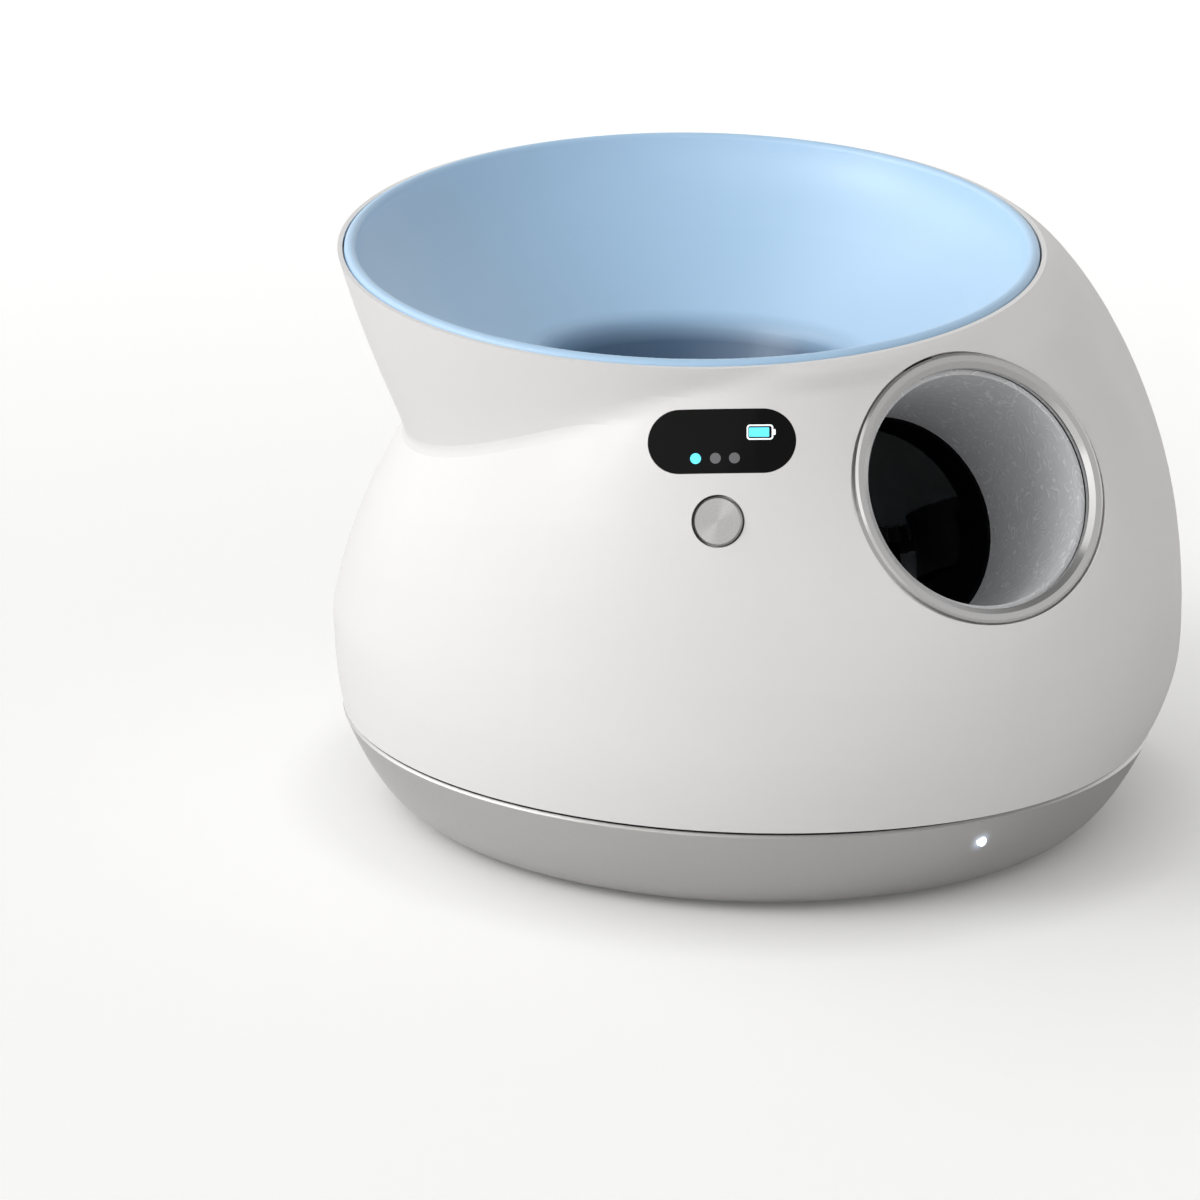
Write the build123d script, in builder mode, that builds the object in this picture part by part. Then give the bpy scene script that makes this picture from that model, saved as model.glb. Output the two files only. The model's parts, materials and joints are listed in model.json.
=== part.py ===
"""Automatic dog ball launcher.

An egg-shaped body on a bowl-shaped metal band, with a leaning hopper on top and a round launch
port at the front right.  Millimetres, +Z up, the front towards -Y.  The origin is the centre of
the base on the floor.
"""
import os
from math import atan2, cos, degrees, hypot, pi, radians, sin, sqrt, tan

from build123d import *

# ---------------------------------------------------------------- driving dimensions

# Ball and fits
BALL_D = 50.0                # mini tennis ball
FIT = 0.3                    # clearance of parts that drop into each other
RUNNING = 0.05               # radial clearance of a turning or sliding fit
SCREW_R = 1.5                # thread of the larger self-tapping screws
SMALL_SCREW_R = 1.0          # thread of the small screws
THREAD_CLEAR = 0.05          # pilot hole around a screw's thread
THREAD_ENTRY = 6.0           # how far a screw reaches into its boss

# Outer skin of the body
WALL = 3.0
SEAM_R = 101.0               # lower edge of the shell
SEAM_Z = 24.5
BELLY_Z = 47.5               # height of the widest section
BELLY_RIGHT = 107.0
BELLY_LEFT = 103.2
BELLY_DEPTH = 105.0          # front and back
RIM_X = -16.5
RIM_Y = -3.0
RIM_Z = 140.5
RIM_R = 85.5
RIM_LEAN = 7.7               # degrees, front of the rim lower
RIM_ROLL = 0.8               # degrees, right of the rim higher
OVERHANG_REACH = 100.0       # degrees each side of the left over which the rim overhangs
OVERHANG_FULLNESS = 1.194    # above 1, the overhang stays deep for longer before it runs out
CREASE_DROP = 0.378          # share of the height by which the crease lies below the rim at the left
CREASE_SOFTNESS = 2.4
CREASE_FADE = 0.3            # below 1, the crease stays soft until it runs out in the rim
SHOULDER_POWER = 0.765       # roundness of the egg away from the overhang
SHOULDER_RISE = 2.0
WAIST_POWER = 0.3            # roundness of the egg under the overhang
WAIST_RISE = 1.387
FLARE_SLOPE = 0.295          # how the cup under the rim narrows
FLARE_CURVE = 0.0025
BAND_STEPS = 3               # section steps in each smooth band of the skin
LOWER_BANDS = 5              # bands below the crease
UPPER_BANDS = 2              # bands above the crease
CREASE_BAND = 0.026          # share of the height from the crease to the edge of its own band
UPPER_SHARE = 0.14           # least share of the height above the crease's band
SLOPE_TRIES = 8              # steps that settle a section's radius on its slope
SKIN_POINTS = 144
RIM_POINTS = 36
SKIN_SECTORS = 12            # faces the skin is made of, side by side

# Launch port
PORT_ANGLE = -59.7           # degrees in plan, of the ring's centre
PORT_Z = 101.1
PORT_SUNK = 1.9              # ring's centre below the egg
PORT_TURN = 24.0             # degrees from the front towards the right
PORT_RISE = 26.0             # degrees of the barrel above level
RING_RISE = 27.0             # degrees of the ring's face above level
PORT_RIM_GUARD = 8.0         # height under the rim over which the swelling fades
PORT_SWELL = 2.3             # swelling of the egg around the port
PORT_SWELL_RIGHT = 4.25       # additional swelling at the ring's right
PORT_SWELL_DOWN = 3.6        # additional swelling under the ring
PORT_SWELL_R = 84.0          # where the swelling has run out
RING_R = 31.1
RING_HOLE_R = 27.8
RING_SEAT = 1.2              # depth of the ring's recess
RING_PROUD = 1.0
RING_GROOVE = 0.5            # gap around the ring
RING_BEVEL_IN = 1.3          # width of the ring's inner bevel
RING_FALL_IN = 0.8           # how far it slopes in
RING_BEVEL_OUT = 0.6
SLEEVE_R = 29.9
SLEEVE_WALL = 1.0
SLEEVE_LENGTH = 5.0
BARREL_R = 27.9
BARREL_WALL = 1.2
BARREL_REST = 0.8            # gap between ring and barrel end

# Launch mechanism, measured in depth along the launch axis, across it and above it
DECK_DROP = 29.0             # deck surface below the launch axis
DECK_T = 3.0
WHEEL_DEPTH = 75.0           # centres of the flywheels
KICK_DEPTH = WHEEL_DEPTH + 59.0   # kicker pivot
BARREL_END = WHEEL_DEPTH - 29.0   # inner end of the barrel
DECK_FRONT = WHEEL_DEPTH - 31.0
DECK_MIDDLE = KICK_DEPTH - 6.0
DECK_REAR = KICK_DEPTH + 10.5
DECK_HALF = 34.0
WING_HALF = 62.0
WING_FRONT = WHEEL_DEPTH - 17.0
WING_REAR = WHEEL_DEPTH + 21.0
KICK_WING_IN = 22.0
KICK_WING_OUT = 74.0
KICK_WING_FRONT = KICK_DEPTH - 14.0
FRONT_POST_DEPTH = WHEEL_DEPTH - 23.0
REAR_POST_DEPTH = KICK_DEPTH - 18.0
TROUGH_BORE_R = 25.8
TROUGH_WALL = 2.2
TROUGH_END = KICK_DEPTH - 4.0
TROUGH_TOP_FROM = WHEEL_DEPTH - 19.0   # depth from which the trough is open above
TROUGH_LIP = 4.0             # height of the open trough's edge above the axis
WHEEL_R = 24.0
WHEEL_T = 16.0
WHEEL_SIDE = 47.0
WHEEL_GAP = 2.0              # running gap around each wheel
TYRE_T = 5.0
TREAD_DISH = 1.0             # hollow of the tread
HUB_WEB = 3.0
SPOKE_HOLE_R = 3.6
SPOKE_HOLES = 5
SHAFT_R = 1.6
MOTOR_R = 10.5
MOTOR_L = 27.0
MOTOR_SCREW_PITCH = 7.2
KICK_SIDE = 42.0
KICK_PADDLE_AHEAD = 3.0      # paddle's middle in front of the pivot
KICK_PIN_R = 2.0
KICK_HUB_R = 5.0
KICK_ARM_T = 4.0
KICK_ARM_H = 12.0
KICK_TIP = 12.0              # how far the paddle reaches past the axis
KICK_TOWER_TOP = -8.0
GEAR_MODULE = 1.0
KICK_TEETH = 30
PINION_TEETH = 12
GEAR_T = 4.0
GEAR_BACKLASH = 0.30
GEAR_Z = 7.0                 # underside of the gears above the launch axis
FEED_MOTOR_R = 9.5
FEED_MOTOR_GAP = 1.5         # between the feed motor and the gears

# Hopper
LIP_R = 83.9
LIP_PROUD = 0.9
LIP_DEPTH = 2.5
LIP_ROUND = 1.4
REBATE_R = 84.3
BOWL_R = 80.8
SHOULDER_R = 39.5            # edge at which the bowl drops into the funnel
SHOULDER_Z = 113.2
SHOULDER_ROUND = 5.0
BOWL_HOLLOW = 1.5            # how much the bowl's wall sags below a straight cone
BOWL_BANDS = 2               # smooth bands down the bowl
FUNNEL_SLOPE = 68.0          # degrees below level
THROAT_R = 29.3
THROAT_X = -13.8
THROAT_Y = -3.0
THROAT_END = 88.0
LINER_WALL = 1.6

# Feed tube
COLLAR_TOP = 91.0
COLLAR_FOOT = 84.0
COLLAR_WALL = 2.0
FEED_END_X = -12.0
FEED_END_Y = -2.2
FEED_END_Z = 80.7
SENSOR_W = 7.0
SENSOR_T = 4.0
SENSOR_H = 6.0

# Base
BAND_FOOT_R = SEAM_R - 18.5
BAND_FOOT_Z = 1.2
BAND_TOP_Z = 23.8
BAND_CHAMFER = 0.6
BAND_WALL = 2.2
FLANGE_Z = 3.2
FLANGE_T = 2.0
FLANGE_R = BAND_FOOT_R - 6.5
PLATE_T = 2.0
FOOT_R = 9.0
FOOT_RING_R = FLANGE_R - 12.0
FOOT_SEAT = 1.0
FOOT_COUNT = 4               # feet in the ring; one more stands in the middle
BASE_SCREW_RING_R = FLANGE_R - 10.0
GASKET_OUT = SEAM_R - 0.8
GASKET_IN = GASKET_OUT - 2.8
CHASSIS_R = BAND_FOOT_R + 3.5
CHASSIS_T = 2.5
SHELL_POST_RING_R = SEAM_R - 19.0
SHELL_POST_R = 4.5
SHELL_POST_ANGLES = (15, 105, 195, 285)
SHELL_POST_FOOT = 12.0
SHELL_POST_TOP = 46.0
WEB_T = 2.5
WEB_FOOT = 27.0
PILLAR_R = 5.0
DECK_POST_R = 5.0
LIGHT_R = 1.1
LIGHT_ANGLE = -57.9
LIGHT_Z = 17.0

# Battery
CELL_R = 9.2
CELL_L = 65.0
CELL_CAP = 1.5               # height of the raised end
CELL_X = -62.0               # left end of the cells
CELL_Y = 32.0
CELL_PITCH = 19.2
BAY_WALL = 2.0
BAY_FIT = 0.5
BAY_HEIGHT = 6.0
STRAP_X = -42.0
STRAP_W = 10.0
STRAP_T = 1.5
STRAP_FOOT = 6.5

# Main board
BOARD_T = 1.6
MAIN_X = -70.0
MAIN_Y = -38.0
MAIN_W = 36.0
MAIN_L = 46.0
MAIN_STAND = 5.0
STAND_R = 2.8
MAIN_HOLE_IN = 3.5

# Control panel
PANEL_ANGLE = -96.5          # degrees in plan
PANEL_Z = 104.7
PANEL_SUNK = 0.3             # panel's middle below the skin
PANEL_TURN = -9.4            # degrees from the front towards the right
PANEL_RISE = 17.4            # degrees above level
DISPLAY_W = 32.9
DISPLAY_H = 14.4
DISPLAY_LEFT = 0.6           # off the panel's middle
DISPLAY_UP = 9.1
DISPLAY_TILT = 4.6           # degrees, right end higher
DISPLAY_T = 2.4
WINDOW_GAP = 0.15
BUTTON_R = 5.5
BUTTON_DOWN = 8.7
BUTTON_GAP = 0.4
BUTTON_PROUD = 0.5
BUTTON_TRAVEL = 0.8
BUTTON_FLANGE_R = 6.8
BUTTON_GUIDE_R = 7.1
GUIDE_WALL = 1.4
STEM_R = 2.0
CONTROL_DEPTH = 11.0         # front of the control board behind the panel
CONTROL_W = 46.0
CONTROL_TOP = 13.0
CONTROL_FOOT = -17.0
CONTROL_POST_R = 2.6
PILOT_DEPTH = 3.5
SWITCH_W = 6.0
SWITCH_T = 3.5
BUTTON_FLANGE_T = 1.0

# Charging socket
SOCKET_Z = 40.0
SOCKET_R = 5.5
SOCKET_FLANGE_R = 7.5
SOCKET_FLANGE_T = 1.4
SOCKET_LENGTH = 12.0
SOCKET_BORE_R = 2.75
SOCKET_PIN_R = 0.65
SOCKET_DEPTH = 9.0
SOCKET_SUNK = 0.8            # flange seat below the skin
SOCKET_GRIP = 5.7            # wall and boss held between flange and nut
NUT_R = 9.0
NUT_T = 3.0

# ---------------------------------------------------------------- worked-out frames


def facing(turn, rise):
    """Direction that points `turn` degrees right of the front and `rise` degrees up."""
    return Vector(sin(radians(turn)) * cos(radians(rise)), -cos(radians(turn)) * cos(radians(rise)),
                  sin(radians(rise)))


def level_right(turn):
    """Level direction to the right of one that faces `turn`."""
    return Vector(cos(radians(turn)), sin(radians(turn)), 0)


def polar(radius, angle):
    """Point in plan at a radius and an angle in degrees."""
    return radius * cos(radians(angle)), radius * sin(radians(angle))


LAUNCH = facing(PORT_TURN, PORT_RISE)
ACROSS = level_right(PORT_TURN)
ABOVE = LAUNCH.cross(ACROSS)
RING_OUT = facing(PORT_TURN, RING_RISE)
RING_ABOVE = RING_OUT.cross(ACROSS)
CHASSIS_Z = FLANGE_Z + FLANGE_T
CHASSIS_TOP = CHASSIS_Z + CHASSIS_T
DECK_UNDER = -DECK_DROP - DECK_T
GEAR_PITCH = GEAR_MODULE * (KICK_TEETH + PINION_TEETH) / 2


def rim_height(x, y, depth=0.0):
    """Height of the leaning rim plane, or of a plane `depth` below it, above a point."""
    rise = tan(radians(RIM_ROLL)) * (x - RIM_X) + tan(radians(RIM_LEAN)) * (y - RIM_Y)
    return RIM_Z + rise - depth


# ---------------------------------------------------------------- body skin


def circle_reach(angle, radius):
    """Distance from the body's axis to the rim's circle of the given radius, in plan."""
    along = RIM_X * cos(angle) + RIM_Y * sin(angle)
    return along + sqrt(max(along ** 2 - RIM_X ** 2 - RIM_Y ** 2 + radius ** 2, 0))


def overhang_share(angle):
    """How much the rim overhangs at a plan angle: 1 at the left, 0 at the front, right and back."""
    from_left = abs(degrees(angle) % 360 - 180) / OVERHANG_REACH
    return cos(pi / 2 * from_left ** OVERHANG_FULLNESS) ** 2 if from_left < 1 else 0


def cup_radius(angle, z, rim_z):
    """Radius of the cup that narrows down from the rim."""
    below = max(rim_z - z, 0)
    return circle_reach(angle, RIM_R - FLARE_SLOPE * below - FLARE_CURVE * below ** 2)


def egg_radius(angle, z, rim_z):
    """Radius of the egg: bowl-shaped below the belly, rounded in above it to meet the cup."""
    half_width = BELLY_RIGHT if cos(angle) > 0 else BELLY_LEFT
    belly = 1 / hypot(cos(angle) / half_width, sin(angle) / BELLY_DEPTH)
    if z <= BELLY_Z:
        return belly - (belly - SEAM_R) * ((BELLY_Z - z) / (BELLY_Z - SEAM_Z)) ** 2
    overhang = overhang_share(angle)
    power = SHOULDER_POWER + (WAIST_POWER - SHOULDER_POWER) * overhang
    rise_power = SHOULDER_RISE + (WAIST_RISE - SHOULDER_RISE) * overhang

    def rounding(height):
        rise = min((height - BELLY_Z) / (rim_z - BELLY_Z), 1)
        return (1 - rise ** rise_power) ** power
    crease_z = rim_z - CREASE_DROP * overhang * (rim_z - SEAM_Z)
    at_crease = rounding(crease_z)
    top = (cup_radius(angle, crease_z, rim_z) - belly * at_crease) / (1 - at_crease)
    return top + (belly - top) * rounding(z)


def rim_above(angle):
    """Height of the rim over the skin at a plan angle."""
    rim_r = circle_reach(angle, RIM_R)
    return rim_height(rim_r * cos(angle), rim_r * sin(angle))


def fade(share):
    """Smooth step from 0 to 1."""
    share = min(max(share, 0), 1)
    return share ** 3 * (10 - 15 * share + 6 * share ** 2)


port_angle = radians(PORT_ANGLE)
port_r = egg_radius(port_angle, PORT_Z, rim_above(port_angle)) - PORT_SUNK
PORT = Vector(*polar(port_r, PORT_ANGLE), PORT_Z)
port = Plane(origin=PORT, x_dir=ACROSS, z_dir=LAUNCH)                # z out along the barrel
ring_face = Plane(origin=PORT, x_dir=ACROSS, z_dir=RING_OUT)         # z out of the ring
ring_section = Plane(origin=PORT, x_dir=ACROSS, z_dir=-RING_ABOVE)   # x radius, y out of the ring
deck = Plane(origin=PORT, x_dir=ACROSS, z_dir=ABOVE)                 # x across, y depth, z above


def swelled_radius(angle, z, radius, rim_z):
    """Radius swelled around the launch port, so that the ring lies flush in the skin."""
    point = Vector(radius * cos(angle), radius * sin(angle), z) - PORT
    off_axis = (point - RING_OUT * point.dot(RING_OUT)).length
    if off_axis > PORT_SWELL_R or point.dot(RING_OUT) < -PORT_SWELL_R:
        return radius
    lean = PORT_SWELL_RIGHT * point.dot(ACROSS) - PORT_SWELL_DOWN * point.dot(RING_ABOVE)
    swell = PORT_SWELL + lean / max(off_axis, RING_R)
    near = fade((PORT_SWELL_R - off_axis) / (PORT_SWELL_R - RING_R))
    outward = RING_OUT.X * cos(angle) + RING_OUT.Y * sin(angle)
    return radius + swell * near * fade((rim_z - z) / PORT_RIM_GUARD) / outward


def skin_radius(angle, z):
    """Radius of the body's outer skin at a plan angle and height."""
    rim_z = rim_above(angle)
    egg = egg_radius(angle, z, rim_z)
    overhang = overhang_share(angle)
    if overhang > 0:
        cup = cup_radius(angle, z, rim_z)
        egg = (egg + cup + hypot(egg - cup, CREASE_SOFTNESS * overhang ** CREASE_FADE)) / 2
    return swelled_radius(angle, z, egg, rim_z)


def closed_curve(points):
    """Smooth closed curve through the points, as one spline for each sector."""
    step = len(points) // SKIN_SECTORS
    edges = []
    for start in range(0, len(points), step):
        knots = [points[(start + index) % len(points)] for index in range(step + 1)]
        tangents = [points[(index + 1) % len(points)] - points[index - 1]
                    for index in (start, (start + step) % len(points))]
        edges.append(Edge.make_spline(knots, tangents=tangents))
    return Wire(edges)


def skin_section(level, inset, drop):
    """Closed curve round the skin: level foot at 0, along the crease at 1, leaning rim at 2."""
    points = []
    for index in range(SKIN_POINTS):
        angle = 2 * pi * index / SKIN_POINTS
        crease_drop = CREASE_DROP * overhang_share(angle)
        spread = hypot(crease_drop - UPPER_SHARE, CREASE_BAND)
        crease = 1 - (crease_drop + UPPER_SHARE + spread) / 2
        share = level * crease if level < 1 else crease + (level - 1) * (1 - crease)
        radius = circle_reach(angle, RIM_R) - inset
        for _ in range(SLOPE_TRIES if level < 2 else 0):
            top = rim_height(radius * cos(angle), radius * sin(angle), drop)
            z = SEAM_Z + share * (top - SEAM_Z)
            radius = skin_radius(angle, z) - inset
        x, y = radius * cos(angle), radius * sin(angle)
        points.append(Vector(x, y, SEAM_Z + share * (rim_height(x, y, drop) - SEAM_Z)))
    return closed_curve(points)


def stacked(sections):
    """Solid through closed sections, flat at both ends, as smooth bands stood on each other."""
    faces = [Face(sections[0]), Face(sections[-1])]
    for start in range(0, len(sections) - 1, BAND_STEPS):
        faces += Shell.make_loft(sections[start:start + BAND_STEPS + 1]).faces()
    return Solid(Shell(faces))


def skin_solid(inset=0.0, drop=0.0):
    """Solid inside the skin, or inside a parallel skin, with a narrow band along the crease."""
    levels = [0]
    for foot, top, bands in ((0, 1 - CREASE_BAND, LOWER_BANDS), (1 - CREASE_BAND, 1 + CREASE_BAND, 1),
                             (1 + CREASE_BAND, 2, UPPER_BANDS)):
        steps = bands * BAND_STEPS
        levels += [foot + (top - foot) * step / steps for step in range(1, steps + 1)]
    return stacked([skin_section(level, inset, drop) for level in levels])


def rim_ring(radius, depth):
    """Closed curve on a plane parallel to the rim, round in plan about the rim's centre."""
    points = []
    for index in range(RIM_POINTS):
        angle = 2 * pi * index / RIM_POINTS
        x = RIM_X + radius * cos(angle)
        y = RIM_Y + radius * sin(angle)
        points.append(Vector(x, y, rim_height(x, y, depth)))
    return closed_curve(points)


outer_skin = skin_solid()
inner_skin = skin_solid(inset=WALL, drop=LIP_DEPTH / 2)
window_skin = skin_solid(inset=DISPLAY_T)

panel_r = skin_radius(radians(PANEL_ANGLE), PANEL_Z) - PANEL_SUNK
panel = Plane(origin=(*polar(panel_r, PANEL_ANGLE), PANEL_Z), x_dir=level_right(PANEL_TURN),
              z_dir=facing(PANEL_TURN, PANEL_RISE))

UP = (Align.CENTER, Align.CENTER, Align.MIN)
DOWN = (Align.CENTER, Align.CENTER, Align.MAX)


def deck_place(side, depth, above=0.0):
    """Frame on the launch mechanism at a place across, deep and above the launch axis."""
    return Plane(origin=deck.from_local_coords((side, depth, above)), x_dir=ACROSS, z_dir=ABOVE)


def panel_place(right, up, depth=0.0):
    """Frame on the control panel, facing out of it."""
    return Plane(origin=panel.from_local_coords((right, up, -depth)), x_dir=panel.x_dir,
                 z_dir=panel.z_dir)


def upright(x, y, z):
    """Level frame at a point."""
    return Plane(origin=(x, y, z))


def pan_screws(places, thread_r, length):
    """Pan-head screws with a drive recess, each head standing on its frame's plane."""
    with BuildPart() as screws:
        with Locations(*places):
            Cylinder(thread_r, length, align=DOWN)
            Cylinder(1.9 * thread_r, 1.2 * thread_r, align=UP)
        with Locations(*[place.offset(1.2 * thread_r) for place in places]):
            Cone(0.3 * thread_r, 0.9 * thread_r, 0.8 * thread_r, align=DOWN, mode=Mode.SUBTRACT)
    return screws


def drill(places, radius, length):
    """Holes down from each frame's plane in the part being built."""
    with Locations(*places):
        Cylinder(radius, length, align=DOWN, mode=Mode.SUBTRACT)


# ---------------------------------------------------------------- base

# Aluminium band: a bowl-shaped wall with an inward flange that the chassis sits on
band_inner_r = SEAM_R - BAND_WALL
flange_out_r = BAND_FOOT_R + FLANGE_T + FLANGE_Z
with BuildPart() as base_band:
    with BuildSketch(Plane.XZ):
        with BuildLine():
            Bezier((BAND_FOOT_R, BAND_FOOT_Z), ((BAND_FOOT_R + SEAM_R) / 2, BAND_FOOT_Z),
                   (SEAM_R, BAND_TOP_Z - BAND_CHAMFER))
            Line((SEAM_R, BAND_TOP_Z - BAND_CHAMFER), (SEAM_R - BAND_CHAMFER, BAND_TOP_Z))
            Line((SEAM_R - BAND_CHAMFER, BAND_TOP_Z), (band_inner_r, BAND_TOP_Z))
            Bezier((band_inner_r, BAND_TOP_Z),
                   ((flange_out_r + SEAM_R) / 2 - BAND_WALL, FLANGE_Z + FLANGE_T + BAND_WALL),
                   (flange_out_r, FLANGE_Z + FLANGE_T))
            Polyline((flange_out_r, FLANGE_Z + FLANGE_T), (FLANGE_R, FLANGE_Z + FLANGE_T),
                     (FLANGE_R, FLANGE_Z), (BAND_FOOT_R - FLANGE_T, FLANGE_Z),
                     (BAND_FOOT_R - FLANGE_T, BAND_FOOT_Z), (BAND_FOOT_R, BAND_FOOT_Z))
        make_face()
    revolve(axis=Axis.Z)
    light_place = Plane(origin=(*polar(SEAM_R, LIGHT_ANGLE), LIGHT_Z), x_dir=(0, 0, 1),
                        z_dir=(*polar(1, LIGHT_ANGLE), 0))
    drill([light_place], LIGHT_R + RUNNING, SEAM_R - FLANGE_R)

# Light pipe: its tip is flush with the band, a collar seats behind the band
band_r_at_light = BAND_FOOT_R + (SEAM_R - BAND_FOOT_R) * sqrt(
    (LIGHT_Z - BAND_FOOT_Z) / (BAND_TOP_Z - BAND_CHAMFER - BAND_FOOT_Z))
light_tip = light_place.offset(band_r_at_light - SEAM_R + FIT)
with BuildPart() as status_light:
    with Locations(light_tip):
        Cylinder(LIGHT_R, 3 * BAND_WALL, align=DOWN)
    with Locations(light_tip.offset(-2 * BAND_WALL)):
        Cylinder(2 * LIGHT_R, BAND_WALL, align=DOWN)

with BuildPart() as seam_gasket:
    with BuildSketch(Plane.XY.offset(BAND_TOP_Z)):
        Circle(GASKET_OUT)
        Circle(GASKET_IN, mode=Mode.SUBTRACT)
    extrude(amount=SEAM_Z - BAND_TOP_Z)

# Floor panel, feet and screws
plate_r = BAND_FOOT_R - FLANGE_T - FIT
plate_foot = FLANGE_Z - PLATE_T
foot_places = [upright(0, 0, 0)]
foot_places += [upright(*polar(FOOT_RING_R, 45 + 360 * i / FOOT_COUNT), 0) for i in range(FOOT_COUNT)]
base_screw_spots = [polar(BASE_SCREW_RING_R, 90 * i) for i in range(4)]
with BuildPart() as base_plate:
    with BuildSketch(Plane.XY.offset(plate_foot)):
        Circle(plate_r)
    extrude(amount=PLATE_T)
    with Locations(*[place.offset(plate_foot) for place in foot_places]):
        Cylinder(FOOT_R + FIT, FOOT_SEAT, align=UP, mode=Mode.SUBTRACT)
    with Locations(*[upright(x, y, plate_foot) for x, y in base_screw_spots]):
        Cone(2 * SCREW_R + FIT, SCREW_R + FIT, PLATE_T, align=UP, mode=Mode.SUBTRACT)

with BuildPart() as rubber_feet:
    with Locations(*foot_places):
        Cylinder(FOOT_R, plate_foot + FOOT_SEAT, align=UP)
    chamfer(rubber_feet.edges().group_by(Axis.Z)[0], length=FIT)

with BuildPart() as base_screws:
    with Locations(*[upright(x, y, plate_foot) for x, y in base_screw_spots]):
        Cone(2 * SCREW_R, SCREW_R, PLATE_T - FIT, align=UP)
        Cylinder(SCREW_R, PLATE_T + THREAD_ENTRY, align=UP)
        Box(2 * SCREW_R, SCREW_R / 2, SCREW_R / 2, align=UP, mode=Mode.SUBTRACT)
        Box(SCREW_R / 2, 2 * SCREW_R, SCREW_R / 2, align=UP, mode=Mode.SUBTRACT)

# ---------------------------------------------------------------- battery and main board

bay_front = CELL_Y - CELL_R - BAY_FIT
bay_back = CELL_Y + CELL_PITCH + CELL_R + BAY_FIT
bay_left = CELL_X - BAY_FIT
bay_right = CELL_X + CELL_L + BAY_FIT
cell_z = CHASSIS_TOP + CELL_R
with BuildPart() as battery_cells:
    for row in range(2):
        cell = Plane(origin=(CELL_X, CELL_Y + row * CELL_PITCH, cell_z), x_dir=(0, 1, 0),
                     z_dir=(1, 0, 0))
        with Locations(cell):
            Cylinder(CELL_R, CELL_L - CELL_CAP, align=UP)
            Cylinder(CELL_R / 3, CELL_L, align=UP)

strap_front = bay_front - BAY_WALL - FIT
strap_back = bay_back + BAY_WALL + FIT
strap_top = cell_z + CELL_R + FIT
with BuildPart() as battery_strap:
    with BuildSketch(Plane.YZ.offset(STRAP_X)):
        with BuildLine():
            Polyline((strap_front - STRAP_FOOT, CHASSIS_TOP), (strap_front, CHASSIS_TOP),
                     (strap_front, strap_top), (strap_back, strap_top), (strap_back, CHASSIS_TOP),
                     (strap_back + STRAP_FOOT, CHASSIS_TOP),
                     (strap_back + STRAP_FOOT, CHASSIS_TOP + STRAP_T),
                     (strap_back + STRAP_T, CHASSIS_TOP + STRAP_T),
                     (strap_back + STRAP_T, strap_top + STRAP_T),
                     (strap_front - STRAP_T, strap_top + STRAP_T),
                     (strap_front - STRAP_T, CHASSIS_TOP + STRAP_T),
                     (strap_front - STRAP_FOOT, CHASSIS_TOP + STRAP_T), close=True)
        make_face()
    extrude(amount=STRAP_W)
    strap_screw_x = STRAP_X + STRAP_W / 2
    strap_screw_ys = (strap_front - (STRAP_FOOT + STRAP_T) / 2, strap_back + (STRAP_FOOT + STRAP_T) / 2)
    strap_screw_places = [upright(strap_screw_x, y, CHASSIS_TOP + STRAP_T) for y in strap_screw_ys]
    drill(strap_screw_places, SMALL_SCREW_R + FIT, STRAP_T)
strap_screws = pan_screws(strap_screw_places, SMALL_SCREW_R, STRAP_T + CHASSIS_T)

board_z = CHASSIS_TOP + MAIN_STAND
board_holes = [(MAIN_X + dx, MAIN_Y + dy) for dx in (MAIN_HOLE_IN, MAIN_W - MAIN_HOLE_IN)
               for dy in (MAIN_HOLE_IN, MAIN_L - MAIN_HOLE_IN)]
board_screw_places = [upright(x, y, board_z + BOARD_T) for x, y in board_holes]
with BuildPart() as main_board:
    with BuildSketch(Plane.XY.offset(board_z)):
        with Locations((MAIN_X + MAIN_W / 2, MAIN_Y + MAIN_L / 2)):
            RectangleRounded(MAIN_W, MAIN_L, MAIN_HOLE_IN / 2)
    extrude(amount=BOARD_T)
    drill(board_screw_places, SMALL_SCREW_R + FIT, BOARD_T)
board_screws = pan_screws(board_screw_places, SMALL_SCREW_R, BOARD_T + MAIN_STAND)

# Controller chip, motor driver, two capacitors, a connector row and a buzzer
with BuildPart() as board_parts:
    with Locations(upright(MAIN_X + MAIN_W / 2, MAIN_Y + MAIN_L / 2, board_z + BOARD_T)):
        with Locations((0, 4, 0)):
            Box(9, 9, 1.4, align=UP)
        with Locations((-9, -6, 0)):
            Box(5, 6, 1.6, align=UP)
        with Locations((10, -9, 0), (10, 1, 0)):
            Cylinder(3.2, 9, align=UP)
        with Locations((-2, -18, 0)):
            Box(18, 5, 6, align=UP)
        with Locations((-10, 13, 0)):
            Cylinder(5, 7, align=UP)

# ---------------------------------------------------------------- launch deck

deck_post_spots = [(-22, FRONT_POST_DEPTH), (22, FRONT_POST_DEPTH), (-30, REAR_POST_DEPTH),
                   (25, REAR_POST_DEPTH)]
wheel_spots = {"left": -WHEEL_SIDE, "right": WHEEL_SIDE}
tower_top = -WHEEL_T / 2 - WHEEL_GAP
bush_t = 4 * SHAFT_R
motor_screw_spots = [(side + shift, WHEEL_DEPTH) for side in wheel_spots.values()
                     for shift in (-MOTOR_SCREW_PITCH, MOTOR_SCREW_PITCH)]
motor_screw_places = [deck_place(*spot, -DECK_DROP) for spot in motor_screw_spots]
deck_screw_places = [deck_place(*spot, -DECK_DROP) for spot in deck_post_spots]


def deck_rectangle(side_from, side_to, depth_from, depth_to):
    """Rectangle in a sketch on the deck, by its edges."""
    with Locations(((side_from + side_to) / 2, (depth_from + depth_to) / 2)):
        Rectangle(side_to - side_from, depth_to - depth_from)


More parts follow.
